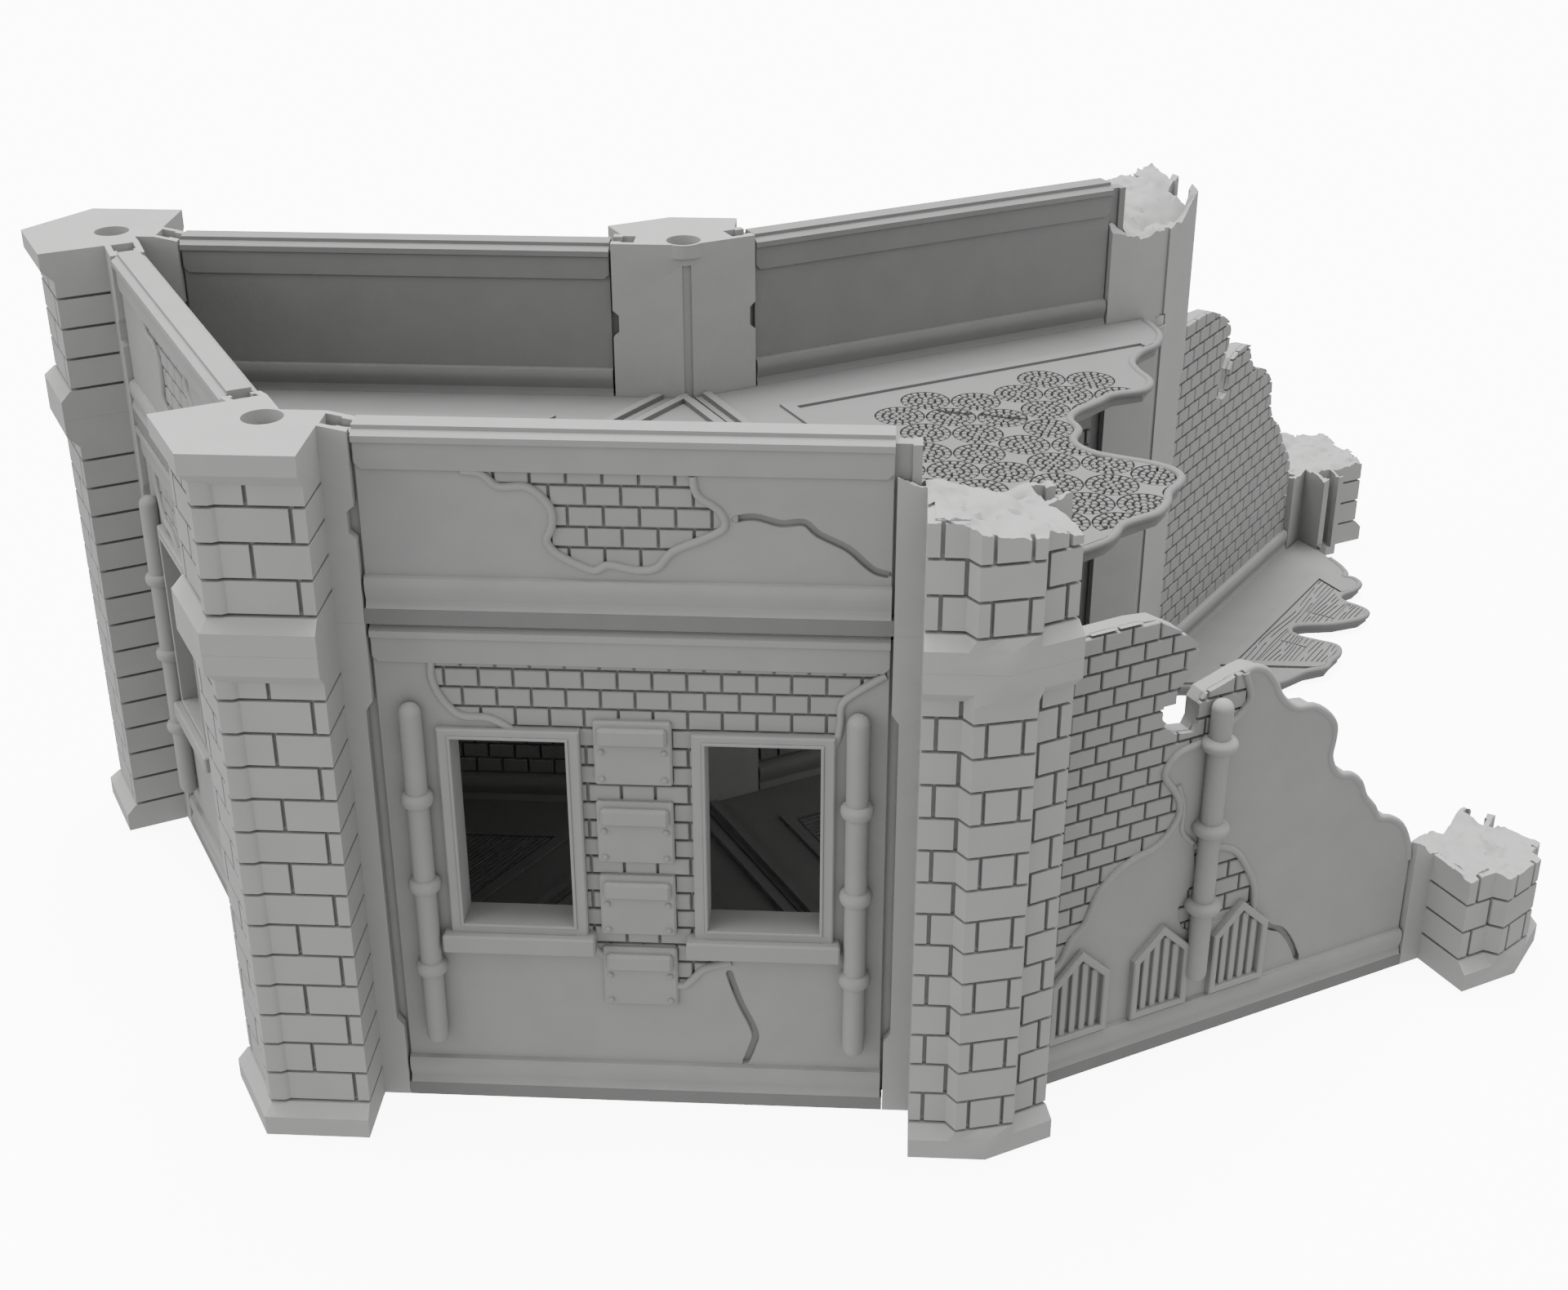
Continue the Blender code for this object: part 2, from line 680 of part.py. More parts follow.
def build_pillars(parent):
    stands = [
        ("pillar_front_left", P1, 240, 120),
        ("pillar_front_middle", P7, -75, 105),
        ("pillar_back_left", P2, 150, 150),
        ("pillar_back_middle", P3, 105, 75),
        ("pillar_back_right", P4, 135, 75),
    ]
    for name, corner, bisector, phi in stands:
        obj = pillar(name + "_lower", phi, LOWER_H - REST, False, True)
        obj = flange_notch(obj, phi, 12.3 * MM, 72.6 * MM, 2.6 * MM)
        place(obj, corner, bisector, 0.0, parent)
        obj = pillar(name + "_upper", phi, UPPER_H, True, False)
        if name == "pillar_front_middle":
            obj = break_top(obj, front_break)
        elif name == "pillar_back_right":
            obj = break_top(obj, back_break)
        else:
            obj = flange_slope(obj, phi, UPPER_H)
            obj = flange_notch(obj, phi, 12.6 * MM, 18.8 * MM, 1.5 * MM)
        place(obj, corner, bisector, LOWER_H, parent)
        disc = cylinder("locating_disc" + name[6:], DISC_R, 0.0, DISC_H)
        place(disc, corner, 0, LOWER_H - SOCKET_DEPTH, parent)
    stub = pillar("pillar_right_stub", 105, LOWER_H, False, True)
    stub = break_top(stub, right_break)
    place(stub, P6, -45, 0.0, parent)
    stub = pillar("pillar_far_stub", 150, LOWER_H, False, True)
    stub = break_top(stub, far_break)
    place(stub, P5, 90, 0.0, parent)


def build_walls(parent):
    place(windowed_wall("wall_front_lower"), P1, 0, 0.0, parent)
    place(windowed_wall("wall_left_lower"), P2, -60, 0.0, parent)
    place(wall("wall_back_lower", LOWER_H - REST), P3, 180, 0.0, parent)
    place(wall("wall_back_right_lower", LOWER_H - REST), P4, 210, 0.0, parent)
    top = UPPER_H - 0.15 * MM
    place(wall("wall_front_upper", top), P1, 0, LOWER_H, parent)
    place(wall("wall_left_upper", top), P2, -60, LOWER_H, parent)
    place(wall("wall_back_upper", top), P3, 180, LOWER_H, parent)
    place(wall("wall_back_right_upper", top), P4, 210, LOWER_H, parent)
    place(right_wall("wall_right_broken"), P7, 30, 0.0, parent)
    far = ruined_wall("wall_far_broken", FAR_WALL_EDGE)
    place(far, P4, 60, 0.0, parent)


def floor(name, corners, walled, level):
    obj = tile(name, corners, walled, level)
    obj = field_frame(obj, corners, walled, level)
    return seam_ribs(obj, corners, walled, level)


def build_floors(parent):
    front = [P1, P7, P3]
    left = [P1, P3, P2]
    square = [P7, P6, P4, P3]
    far = [P4, PX, P5]
    for storey, level in (("ground", 0.0), ("upper", LOWER_H)):
        obj = floor("floor_" + storey + "_front_triangle", front, [True, False, False], level)
        obj = trim_corner(obj, P3, 105, 75, level)
        place(obj, P1, 0, 0.0, parent)
        obj = floor("floor_" + storey + "_left_triangle", left, [False, True, True], level)
        place(obj, P1, 0, 0.0, parent)
    obj = floor("floor_ground_square", square, [True, False, True, False], 0.0)
    obj = trim_corner(obj, P7, -75, 105, 0.0)
    obj = trim_corner(obj, P6, -45, 105, 0.0)
    obj = trim_corner(obj, P3, 105, 75, 0.0)
    place(obj, P1, 0, 0.0, parent)
    obj = floor("floor_upper_square_broken", square, [False, False, True, False], LOWER_H)
    obj = trim_corner(obj, P7, -75, 105, LOWER_H)
    obj = trim_corner(obj, P4, 135, 75, LOWER_H)
    obj = trim_corner(obj, P3, 105, 75, LOWER_H)
    obj = lost(obj, UPPER_SQUARE_LOST, LOWER_H)
    place(obj, P1, 0, 0.0, parent)
    obj = floor("floor_ground_broken_triangle", far, [False, False, True], 0.0)
    obj = lost(obj, GROUND_TRIANGLE_LOST, 0.0)
    obj = trim_corner(obj, P5, 90, 150, 0.0)
    obj = trim_corner(obj, P4, 135, 75, 0.0)
    place(obj, P1, 0, 0.0, parent)


def centre_on_origin(parent):
    """Moves the whole assembly so that the origin is the middle of its underside."""
    bpy.context.view_layer.update()
    low = Vector((9, 9, 9))
    high = -low
    for obj in parent.children:
        for vert in obj.data.vertices:
            point = obj.matrix_world @ vert.co
            low = Vector(map(min, low, point))
            high = Vector(map(max, high, point))
    middle = (low + high) / 2
    parent.location = (-middle.x, -middle.y, -low.z)
    size = (high - low) / MM
    print("overall size in mm:", round(size.x, 2), round(size.y, 2), round(size.z, 2))
    print("first pillar at", round(-middle.x / MM, 3), round(-middle.y / MM, 3))


clear_scene()
terrain = bpy.data.objects.new("terrain", None)
bpy.context.scene.collection.objects.link(terrain)
build_pillars(terrain)
build_walls(terrain)
build_floors(terrain)
centre_on_origin(terrain)
triangles = 0
for item in terrain.children:
    item.data.calc_loop_triangles()
    triangles += len(item.data.loop_triangles)
print(len(terrain.children), "nodes,", triangles, "triangles")
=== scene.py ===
# %% [markdown]
# # A miniature ruin for tabletop games
# The object is a modular corner of a ruined building, printed in matt grey plastic.
# Pillars stand on a triangular lattice, wall panels slide into slots in the pillars,
# and thin floor tiles lie under the walls. This lesson dresses the plain CAD solids
# with brickwork, plaster, pipes, cobbles and planks, one piece for each CAD node.

# %% Start from an empty scene and load the frame
import math
import random

import bmesh
import bpy
from mathutils import Matrix, Vector, noise
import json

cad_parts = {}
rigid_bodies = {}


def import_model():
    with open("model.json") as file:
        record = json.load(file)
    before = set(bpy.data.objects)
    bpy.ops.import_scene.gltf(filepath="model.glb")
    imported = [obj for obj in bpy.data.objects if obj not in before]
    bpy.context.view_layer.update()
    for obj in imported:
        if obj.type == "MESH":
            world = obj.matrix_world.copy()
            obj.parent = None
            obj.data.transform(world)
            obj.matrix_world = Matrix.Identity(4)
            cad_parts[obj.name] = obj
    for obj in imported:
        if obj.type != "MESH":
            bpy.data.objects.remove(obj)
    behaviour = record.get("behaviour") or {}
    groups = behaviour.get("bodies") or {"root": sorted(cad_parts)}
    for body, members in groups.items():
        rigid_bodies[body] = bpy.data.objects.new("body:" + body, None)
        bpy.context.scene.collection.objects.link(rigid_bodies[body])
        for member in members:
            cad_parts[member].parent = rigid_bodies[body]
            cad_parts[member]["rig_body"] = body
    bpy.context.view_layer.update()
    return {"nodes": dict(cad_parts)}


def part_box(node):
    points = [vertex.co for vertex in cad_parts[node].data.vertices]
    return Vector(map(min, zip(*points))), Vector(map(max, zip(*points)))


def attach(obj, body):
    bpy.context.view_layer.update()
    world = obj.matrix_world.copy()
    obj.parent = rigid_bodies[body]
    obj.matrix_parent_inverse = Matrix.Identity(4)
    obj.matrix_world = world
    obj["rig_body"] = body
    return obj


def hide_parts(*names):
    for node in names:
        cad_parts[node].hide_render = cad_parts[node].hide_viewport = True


for item in list(bpy.data.objects):
    bpy.data.objects.remove(item, do_unlink=True)

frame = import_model()

# %% [markdown]
# ## The lattice
# Every pillar has a round locating disc on its axis, so the middle of a disc's box gives
# the pillar's place. The other two axes follow from the 100 mm pitch of the lattice.

# %% Pillar axes, storeys and angles
MM = 0.001
PITCH = 100.0
LOWER_H = 84.2
UPPER_H = 30.1


def unit(angle):
    turn = math.radians(angle)
    return Vector((math.cos(turn), math.sin(turn), 0))


def ahead_and_side(angle):
    """The level direction at an angle, and the one to its left."""
    ahead = unit(angle)
    return ahead, Vector((-ahead.y, ahead.x, 0))


def axis_of(disc):
    low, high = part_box(disc)
    middle = (low + high) / 2 / MM
    return Vector((middle.x, middle.y, 0))


FRONT_LEFT = axis_of("locating_disc_front_left")
FRONT_MIDDLE = axis_of("locating_disc_front_middle")
BACK_LEFT = axis_of("locating_disc_back_left")
BACK_MIDDLE = axis_of("locating_disc_back_middle")
BACK_RIGHT = axis_of("locating_disc_back_right")
RIGHT_STUB = FRONT_MIDDLE + unit(30) * PITCH
FAR_STUB = BACK_RIGHT + unit(60) * PITCH
print("front left axis at", [round(value, 2) for value in FRONT_LEFT])

# %% [markdown]
# ## The finish
# The plastic is matt, grey and almost even in tone. Up close it has a very fine grain. Two
# noises do it: a soft one shifts the grey a little, and a fine one gives the surface its
# grain. They read Object coordinates, so they keep their scale on all pieces. The floors
# and the inner walls at the back get darker greys, which are painted shade: it is all one
# plastic, made darker on the pieces that lie in shade among the walls.

# %% Printed plastic
def set_inputs(node, values):
    for name, value in values.items():
        node.inputs[name].default_value = value


def printed_plastic(name, shade):
    material = bpy.data.materials.new(name)
    material.use_nodes = True
    nodes = material.node_tree.nodes
    links = material.node_tree.links
    shader = nodes["Principled BSDF"]
    set_inputs(shader, {"Specular IOR Level": 0.25})
    place = nodes.new("ShaderNodeTexCoord")
    cloud = nodes.new("ShaderNodeTexNoise")
    set_inputs(cloud, {"Scale": 140, "Detail": 4})
    tone = nodes.new("ShaderNodeValToRGB")
    tone.color_ramp.elements[0].color = (shade * 0.92, shade * 0.92, shade * 0.91, 1)
    tone.color_ramp.elements[1].color = (shade * 1.08, shade * 1.08, shade * 1.065, 1)
    grain = nodes.new("ShaderNodeTexNoise")
    set_inputs(grain, {"Scale": 2600, "Detail": 3})
    rough = nodes.new("ShaderNodeMapRange")
    set_inputs(rough, {"To Min": 0.62, "To Max": 0.82})
    bump = nodes.new("ShaderNodeBump")
    set_inputs(bump, {"Strength": 0.25, "Distance": 0.00008})
    links.new(place.outputs["Object"], cloud.inputs["Vector"])
    links.new(place.outputs["Object"], grain.inputs["Vector"])
    links.new(cloud.outputs["Fac"], tone.inputs["Fac"])
    links.new(tone.outputs["Color"], shader.inputs["Base Color"])
    links.new(grain.outputs["Fac"], rough.inputs["Value"])
    links.new(rough.outputs["Result"], shader.inputs["Roughness"])
    links.new(grain.outputs["Fac"], bump.inputs["Height"])
    links.new(bump.outputs["Normal"], shader.inputs["Normal"])
    return material


STONE_GREY = printed_plastic("printed_pillar_grey", 0.29)
WALL_GREY = printed_plastic("printed_wall_grey", 0.245)
# Painted shade: the inner walls at the back are darker than the front walls, to stand for the
# shade they stand in.
INNER_WALL_PAINTED_SHADE_GREY = printed_plastic("inner_wall_painted_shade_grey", 0.175)
# Painted shade: the floors are darker still, to stand for the shade they lie in among the walls.
FLOOR_PAINTED_SHADE_GREY = printed_plastic("floor_painted_shade_grey", 0.15)


def grey_for(node):
    """The grey for a CAD node's piece; the darker greys of the floors and back walls are painted
    shade.
    """
    if node.startswith("floor"):
        return FLOOR_PAINTED_SHADE_GREY
    if node.startswith("wall_back"):
        return INNER_WALL_PAINTED_SHADE_GREY
    if node.startswith("wall"):
        return WALL_GREY
    return STONE_GREY


print("made four greys, from", STONE_GREY.name, "to", FLOOR_PAINTED_SHADE_GREY.name)

# %% [markdown]
# ## Working in a piece's own axes
# Each piece is shaped in millimetres in its own axes, and only then moved into place.
# A pillar's own x axis points out of the corner. Along a wall, x is the distance s from
# the first pillar, z is the height, and the outer face looks towards -y, so that a
# distance "off" the middle of the wall is -y.

# %% Own axes to the row frame, and back
def stance(corner, angle, level):
    move = Matrix.Translation((corner.x * MM, corner.y * MM, level * MM))
    return move @ Matrix.Rotation(math.radians(angle), 4, "Z") @ Matrix.Scale(MM, 4)


def cad_copy(node, corner, angle, level):
    """A merged copy of a CAD node's mesh, in the piece's own axes."""
    bm = bmesh.new()
    bm.from_mesh(frame["nodes"][node].data)
    bm.transform(stance(corner, angle, level).inverted())
    bmesh.ops.remove_doubles(bm, verts=bm.verts, dist=MERGE)
    return bm


def show(node, bm, corner, angle, level):
    """Puts a finished shape in its place, where it stands for its CAD node."""
    bm.transform(stance(corner, angle, level))
    mesh = bpy.data.meshes.new(node + "_print")
    bm.to_mesh(mesh)
    bm.free()
    if "custom_normal" in mesh.attributes:
        mesh.attributes.remove(mesh.attributes["custom_normal"])
    mesh.polygons.foreach_set("use_smooth", [True] * len(mesh.polygons))
    mesh.set_sharp_from_angle(angle=math.radians(32))
    mesh.materials.clear()
    mesh.materials.append(grey_for(node))
    obj = bpy.data.objects.new(node + "_print", mesh)
    bpy.context.scene.collection.objects.link(obj)
    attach(obj, frame["nodes"][node]["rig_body"])
    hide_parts(node)
    mesh.calc_loop_triangles()
    print(obj.name, len(mesh.loop_triangles), "triangles")


# %% Small steps that many shapes share
MERGE = 0.0005
SOFT = 0.12


def soften_edges(bm, edges, offset, segments=1, clamp=False):
    bmesh.ops.bevel(bm, geom=edges, offset=offset, segments=segments, profile=0.5,
                    affect="EDGES", material=-1, clamp_overlap=clamp)


def edges_above(bm, level):
    return [edge for edge in bm.edges if min(vert.co.z for vert in edge.verts) > level]


def extrude(bm, faces):
    """Extrudes faces where they are, and gives the new vertices."""
    made = bmesh.ops.extrude_face_region(bm, geom=faces)
    return [part for part in made["geom"] if isinstance(part, bmesh.types.BMVert)]


def join(bm, other):
    mesh = bpy.data.meshes.new("part")
    other.to_mesh(mesh)
    other.free()
    bm.from_mesh(mesh)
    bpy.data.meshes.remove(mesh)


# %% Blocks drawn from a flat outline
def draw_out(bm, corners, reach, soften=0.0):
    """Draws a flat outline into a closed block, and softens its edges a little."""
    verts = [bm.verts.new(corner) for corner in corners]
    moved = extrude(bm, [bm.faces.new(verts)])
    bmesh.ops.translate(bm, verts=moved, vec=reach)
    faces = list({face for vert in verts + moved for face in vert.link_faces})
    bmesh.ops.recalc_face_normals(bm, faces=faces)
    if soften:
        edges = list({edge for face in faces for edge in face.edges})
        soften_edges(bm, edges, soften, clamp=True)


def stand(bm, outline, back, front, soften=0.0):
    """A block standing in a wall, on an outline of (s, z), from off = back to front."""
    corners = [(s, -back, z) for s, z in outline]
    draw_out(bm, corners, (0, back - front, 0), soften)


def lay(bm, outline, low, high):
    """A block lying on an outline of (x, y), from z = low to high."""
    corners = [(x, y, low) for x, y in outline]
    draw_out(bm, corners, (0, 0, high - low))


def run(bm, profile, start, end):
    """A moulding: a section of (off, z) drawn along the wall."""
    corners = [(start, -off, z) for off, z in profile]
    draw_out(bm, corners, (end - start, 0, 0))


def rectangle(left, right, low, high):
    return [(left, low), (right, low), (right, high), (left, high)]


# %% [markdown]
# ## Carving
# Grooves and sockets go right through a surface, so a Boolean is the plain way to cut
# them. The exact solver is slow but safe on flat faces that touch.

# %% Boolean between two bmeshes
def carve(bm, cutter, operation="DIFFERENCE"):
    pair = []
    for part in (bm, cutter):
        mesh = bpy.data.meshes.new("carving")
        part.to_mesh(mesh)
        part.free()
        obj = bpy.data.objects.new("carving", mesh)
        bpy.context.scene.collection.objects.link(obj)
        pair.append(obj)
    step = pair[0].modifiers.new("carving", "BOOLEAN")
    step.operation = operation
    step.solver = "EXACT"
    step.object = pair[1]
    graph = bpy.context.evaluated_depsgraph_get()
    mesh = bpy.data.meshes.new_from_object(pair[0].evaluated_get(graph))
    result = bmesh.new()
    result.from_mesh(mesh)
    bpy.data.meshes.remove(mesh)
    for obj in pair:
        old = obj.data
        bpy.data.objects.remove(obj, do_unlink=True)
        bpy.data.meshes.remove(old)
    return result


# %% [markdown]
# ## Plaster and beads
# A coat of plaster with holes worn in it is a flat filled curve with more curves inside
# it. Blender fills between them and rounds the edges. A bead, the raised lip along a
# broken edge, is a thin round curve half sunk in the surface.

# %% Filled sheets and round beads
UPRIGHT = Matrix.Rotation(math.radians(90), 4, "X")


def smooth_line(points, steps=4):
    """Extra points between the given ones, on a smooth line through them."""
    last = len(points) - 1
    line = []
    for here in range(last):
        near = [min(max(here + shift, 0), last) for shift in (-1, 0, 1, 2)]
        a, b, c, d = [Vector(points[number]) for number in near]
        for step in range(steps):
            t = step / steps
            point = b * 2 + (c - a) * t + (a * 2 - b * 5 + c * 4 - d) * t ** 2
            point += (b * 3 - a - c * 3 + d) * t ** 3
            line.append(tuple(point / 2))
    line.append(tuple(points[-1]))
    return line


def curve_mesh(bm, curve, place):
    obj = bpy.data.objects.new("line", curve)
    mesh = bpy.data.meshes.new_from_object(obj)
    mesh.transform(place)
    part = bmesh.new()
    part.from_mesh(mesh)
    bmesh.ops.remove_doubles(part, verts=part.verts, dist=MERGE)
    bmesh.ops.recalc_face_normals(part, faces=part.faces)
    part.to_mesh(mesh)
    part.free()
    bm.from_mesh(mesh)
    bpy.data.objects.remove(obj)
    bpy.data.meshes.remove(mesh)
    bpy.data.curves.remove(curve)


def add_spline(curve, points, closed):
    spline = curve.splines.new("POLY")
    spline.points.add(len(points) - 1)
    for point, (x, y) in zip(spline.points, points):
        point.co = (x, y, 0, 1)
    spline.use_cyclic_u = closed


def sheet_with_holes(bm, outline, holes, back, front, edge=0.0):
    """Fills a flat outline round its holes and gives it a thickness."""
    curve = bpy.data.curves.new("sheet", "CURVE")
    curve.dimensions = "2D"
    curve.fill_mode = "BOTH"
    curve.extrude = (front - back) / 2 - edge
    curve.bevel_depth = edge
    curve.bevel_resolution = 0
    curve.offset = -edge
    for points in [outline] + holes:
        add_spline(curve, points, True)
    middle = (front + back) / 2
    curve_mesh(bm, curve, Matrix.Translation((0, -middle, 0)) @ UPRIGHT)


def bead(bm, points, radius, off, flat=False):
    """A round lip along a line of (s, z) at a distance off, or of (x, y) at a height."""
    curve = bpy.data.curves.new("bead", "CURVE")
    curve.dimensions = "3D"
    curve.bevel_depth = radius
    curve.bevel_resolution = 4
    curve.use_fill_caps = True
    add_spline(curve, points, False)
    place = Matrix.Translation((0, 0, off))
    if not flat:
        place = Matrix.Translation((0, -off, 0)) @ UPRIGHT
    curve_mesh(bm, curve, place)


def strip_outline(points, half):
    """The outline of a thin strip along a line, as for a crack."""
    left = []
    right = []
    count = len(points)
    for here in range(count):
        before = Vector(points[max(here - 1, 0)])
        after = Vector(points[min(here + 1, count - 1)])
        ahead = (after - before).normalized()
        side = Vector((-ahead.y, ahead.x)) * half
        if here in (0, count - 1):
            side = side * 0.4
        point = Vector(points[here])
        left.append(tuple(point + side))
        right.append(tuple(point - side))
    return left + right[::-1]


# %% [markdown]
# ## Stonework on the pillars
# The pillars are built of stones in level courses, 5.45 mm high. The joints are thin
# grooves. A band cutter runs round the outward faces at each course, and small upright
# cutters make the joints between the stones of one course.

# %% The path round a pillar's outward faces
FACE_OFF = 12.0
WING_S = 8.2
FLANGE_OFF = 2.9
BLOCK_U = 13.35
COURSE = 5.45
JOINT = 0.25
JOINT_DEPTH = 1.0


def wing_point(phi, s, off):
    side = 1 if phi > 0 else -1
    turn = math.radians(phi)
    x = s * math.cos(turn) + off * math.cos(turn - side * math.pi / 2)
    y = s * math.sin(turn) + off * math.sin(turn - side * math.pi / 2)
    return x, y


def chevron_u(off, v):
    tilt = math.radians(15)
    return (off - v * math.sin(tilt)) / math.cos(tilt)


def face_path(phi, depth):
    """Points from one wing's end round to the other's, at a depth under the brick face."""
    off = FACE_OFF - depth
    end = WING_S - depth
    if phi == 120:
        half = [(off / math.cos(math.radians(30)), 0.0)]
    elif phi == 150:
        half = [(off, off * math.tan(math.radians(30)))]
    else:
        tip = BLOCK_U - depth
        half = [(tip, 4.6 - depth * 0.7), (chevron_u(off, 5.6), 5.6 - depth * 0.6)]
    half.append(wing_point(max(phi, 105), end, off))
    foot = 11.14 - depth if phi == 75 else end
    half.append(wing_point(phi, foot, FLANGE_OFF + 0.02))
    mirrored = [(x, -y) for x, y in reversed(half) if abs(y) > 1e-6]
    return mirrored + half


def course_band(bm, phi, z):
    outer = face_path(phi, -2.2)
    inner = face_path(phi, JOINT_DEPTH)
    lay(bm, outer + inner[::-1], z - JOINT, z + JOINT)


# %% Upright joints in one course
def joint_box(bm, x, y, angle, low, high):
    """A narrow upright cutter whose length looks along angle."""
    ahead, side = ahead_and_side(angle)
    side = side * JOINT * 1.25
    start = Vector((x, y, 0)) - ahead * JOINT_DEPTH
    end = Vector((x, y, 0)) + ahead * 2.5
    corners = [start - side, end - side, end + side, start + side]
    lay(bm, [(corner.x, corner.y) for corner in corners], low, high)


def wing_joint(bm, phi, s, low, high):
    for side in (1, -1):
        x, y = wing_point(phi * side, s, FACE_OFF)
        joint_box(bm, x, y, side * (phi - 90), low, high)


def course_joints(bm, phi, number, low, high):
    odd = number % 2
    if phi == 120:
        wing_joint(bm, phi, 6.1 if odd else 0.1, low, high)
    elif phi == 150:
        wing_joint(bm, phi, 5.4 if odd else 1.2, low, high)
        for v in ((-3.4, 3.4) if odd else (0.0,)):
            joint_box(bm, FACE_OFF, v, 0, low, high)
    elif odd:
        wing_joint(bm, 105, 6.1, low, high)
        for v in (-2.65, 2.65):
            joint_box(bm, BLOCK_U, v, 0, low, high)
    else:
        wing_joint(bm, 105, 2.75, low, high)


def stonework(bm, phi, courses, top):
    """Cuts the course bands and then the upright joints into a pillar segment."""
    bands = bmesh.new()
    joints = bmesh.new()
    for number in range(1, courses + 1):
        low = number * COURSE
        high = min(low + COURSE, top)
        course_band(bands, phi, low)
        if high - low > 1:
            course_joints(joints, phi, number, low - 0.1, high + 0.1)
    bm = carve(bm, bands)
    return carve(bm, joints)


def corner_strip(bm, low, high):
    """The proud strip down the outer corner of the front left pillar."""
    half = [wing_point(120, s, off) for s, off in ((-4.0, 11.7), (-4.3, 12.1), (-5.0, 12.5))]
    tip = [(12.5 / math.cos(math.radians(30)), 0.0)]
    strip = bmesh.new()
    lay(strip, [(x, -y) for x, y in half] + tip + half[::-1], low, high)
    return carve(bm, strip, "UNION")


print("stone courses are", COURSE, "mm high")

# %% [markdown]
# ## Broken tops
# Three pillars end in rubble. The CAD part has a coarse broken surface, and a finer one is
# cut a little under it: a grid is lifted by layered noise, closed into a block and taken
# away. A few hollows are pressed into the grid first.

# %% Rubble cut by a noisy grid
def ripple(u, v):
    return 0.35 * math.sin(u * 0.55 + 1.3 * v * 0.4) + 0.3 * math.cos(v * 0.6 - u * 0.25)


def front_break(u, v):
    flange = max(0.0, abs(v) - 9.5) * 0.5 if u < 2 else 0.0
    return 21.2 - 0.17 * v - 0.02 * u + flange + ripple(u, v)


def back_break(u, v):
    rise = 6.0 * (1 - math.exp(-max(u, 0) / 5.0))
    return 20.4 + rise - 0.12 * v + max(0.0, abs(v) - 6) * 0.25 + ripple(u, v)


def right_break(u, v):
    flange = max(0.0, abs(v) - 9.5) * 1.1 if (u < 2 and v < 0) else 0.0
    return 21.6 - 0.06 * v + flange + ripple(u, v)


def far_break(u, v):
    return 22.2 + 0.10 * u + ripple(u, v)


def rubble_height(surface, seed, u, v):
    point = Vector((u * 0.22, v * 0.22, seed))
    rough = noise.fractal(point, 0.9, 2.0, 4)
    facet = noise.cell(Vector((u * 0.5 + rough, v * 0.5 - rough, seed)))
    fine = noise.noise(Vector((u * 1.3, v * 1.3, seed)))
    return surface(u, v) - 0.75 + 0.62 * rough + 0.28 * facet + 0.2 * fine


def break_off(bm, surface, seed, dents):
    cutter = bmesh.new()
    bmesh.ops.create_grid(cutter, x_segments=72, y_segments=72, size=19)
    for vert in cutter.verts:
        u, v = vert.co.x, vert.co.y
        z = rubble_height(surface, seed, u, v)
        for du, dv, wide, deep in dents:
            z -= deep * math.exp(-((u - du) ** 2 + (v - dv) ** 2) / wide ** 2)
        vert.co.z = z
    for vert in extrude(cutter, list(cutter.faces)):
        vert.co.z = 60
    bmesh.ops.recalc_face_normals(cutter, faces=cutter.faces)
    return carve(bm, cutter)


# %% [markdown]
# ## The pillars
# Each segment starts as a copy of its CAD node, which has the base, the cap, the socket and
# the two slots. Then come the stone joints. The pillars with a reflex corner also have an
# upright groove down their inner side, under the boss of the socket.

# %% All pillar segments
CAP_H = 5.2
BROKEN_TOP = 27.2
LOWER_COURSES = 14
UPPER_COURSES = 4
PILLARS = [
    ("pillar_front_left", FRONT_LEFT, 240, 120),
    ("pillar_front_middle", FRONT_MIDDLE, -75, 105),
    ("pillar_back_left", BACK_LEFT, 150, 150),
    ("pillar_back_middle", BACK_MIDDLE, 105, 75),
    ("pillar_back_right", BACK_RIGHT, 135, 75),
]
BROKEN = {
    "pillar_front_middle_upper": (front_break, 3.0, [(5.5, -2.5, 1.8, 1.3), (-2, 5, 2, 0.8)]),
    "pillar_back_right_upper": (back_break, 11.0, [(6, 2, 1.6, 0.9), (0, -6, 2.2, 0.9)]),
    "pillar_right_stub": (right_break, 17.0, [(6, 2, 1.3, 1.2), (8, -5, 1.6, 0.8)]),
    "pillar_far_stub": (far_break, 23.0, [(5, 3, 1.8, 1.0)]),
}


def inner_groove(bm, low, high):
    cutter = bmesh.new()
    lay(cutter, [(-4.2, -0.8), (-2.35, -0.8), (-2.35, 0.8), (-4.2, 0.8)], low, high)
    return carve(bm, cutter)


def dress_pillar(node, corner, bisector, phi, level, courses, top):
    bm = cad_copy(node, corner, bisector, level)
    if phi == 120:
        bm = corner_strip(bm, 4.4, top + 0.6)
    bm = stonework(bm, phi, courses, top)
    if phi == 75:
        bm = inner_groove(bm, 0.5, top + 1.5)
    if node in BROKEN:
        bm = break_off(bm, *BROKEN[node])
    show(node, bm, corner, bisector, level)


for name, corner, bisector, phi in PILLARS:
    dress_pillar(name + "_lower", corner, bisector, phi, 0.0, LOWER_COURSES, LOWER_H - CAP_H)
    top = BROKEN_TOP if name + "_upper" in BROKEN else UPPER_H - CAP_H
    dress_pillar(name + "_upper", corner, bisector, phi, LOWER_H, UPPER_COURSES, top)
dress_pillar("pillar_right_stub", RIGHT_STUB, -45, 105, 0.0, UPPER_COURSES, BROKEN_TOP)
dress_pillar("pillar_far_stub", FAR_STUB, 90, 150, 0.0, UPPER_COURSES, BROKEN_TOP)

# %% [markdown]
# ## Locating discs
# Small loose discs sit in the sockets between two pillar segments. They are turned parts
# with a chamfer at both ends so that they find their holes.

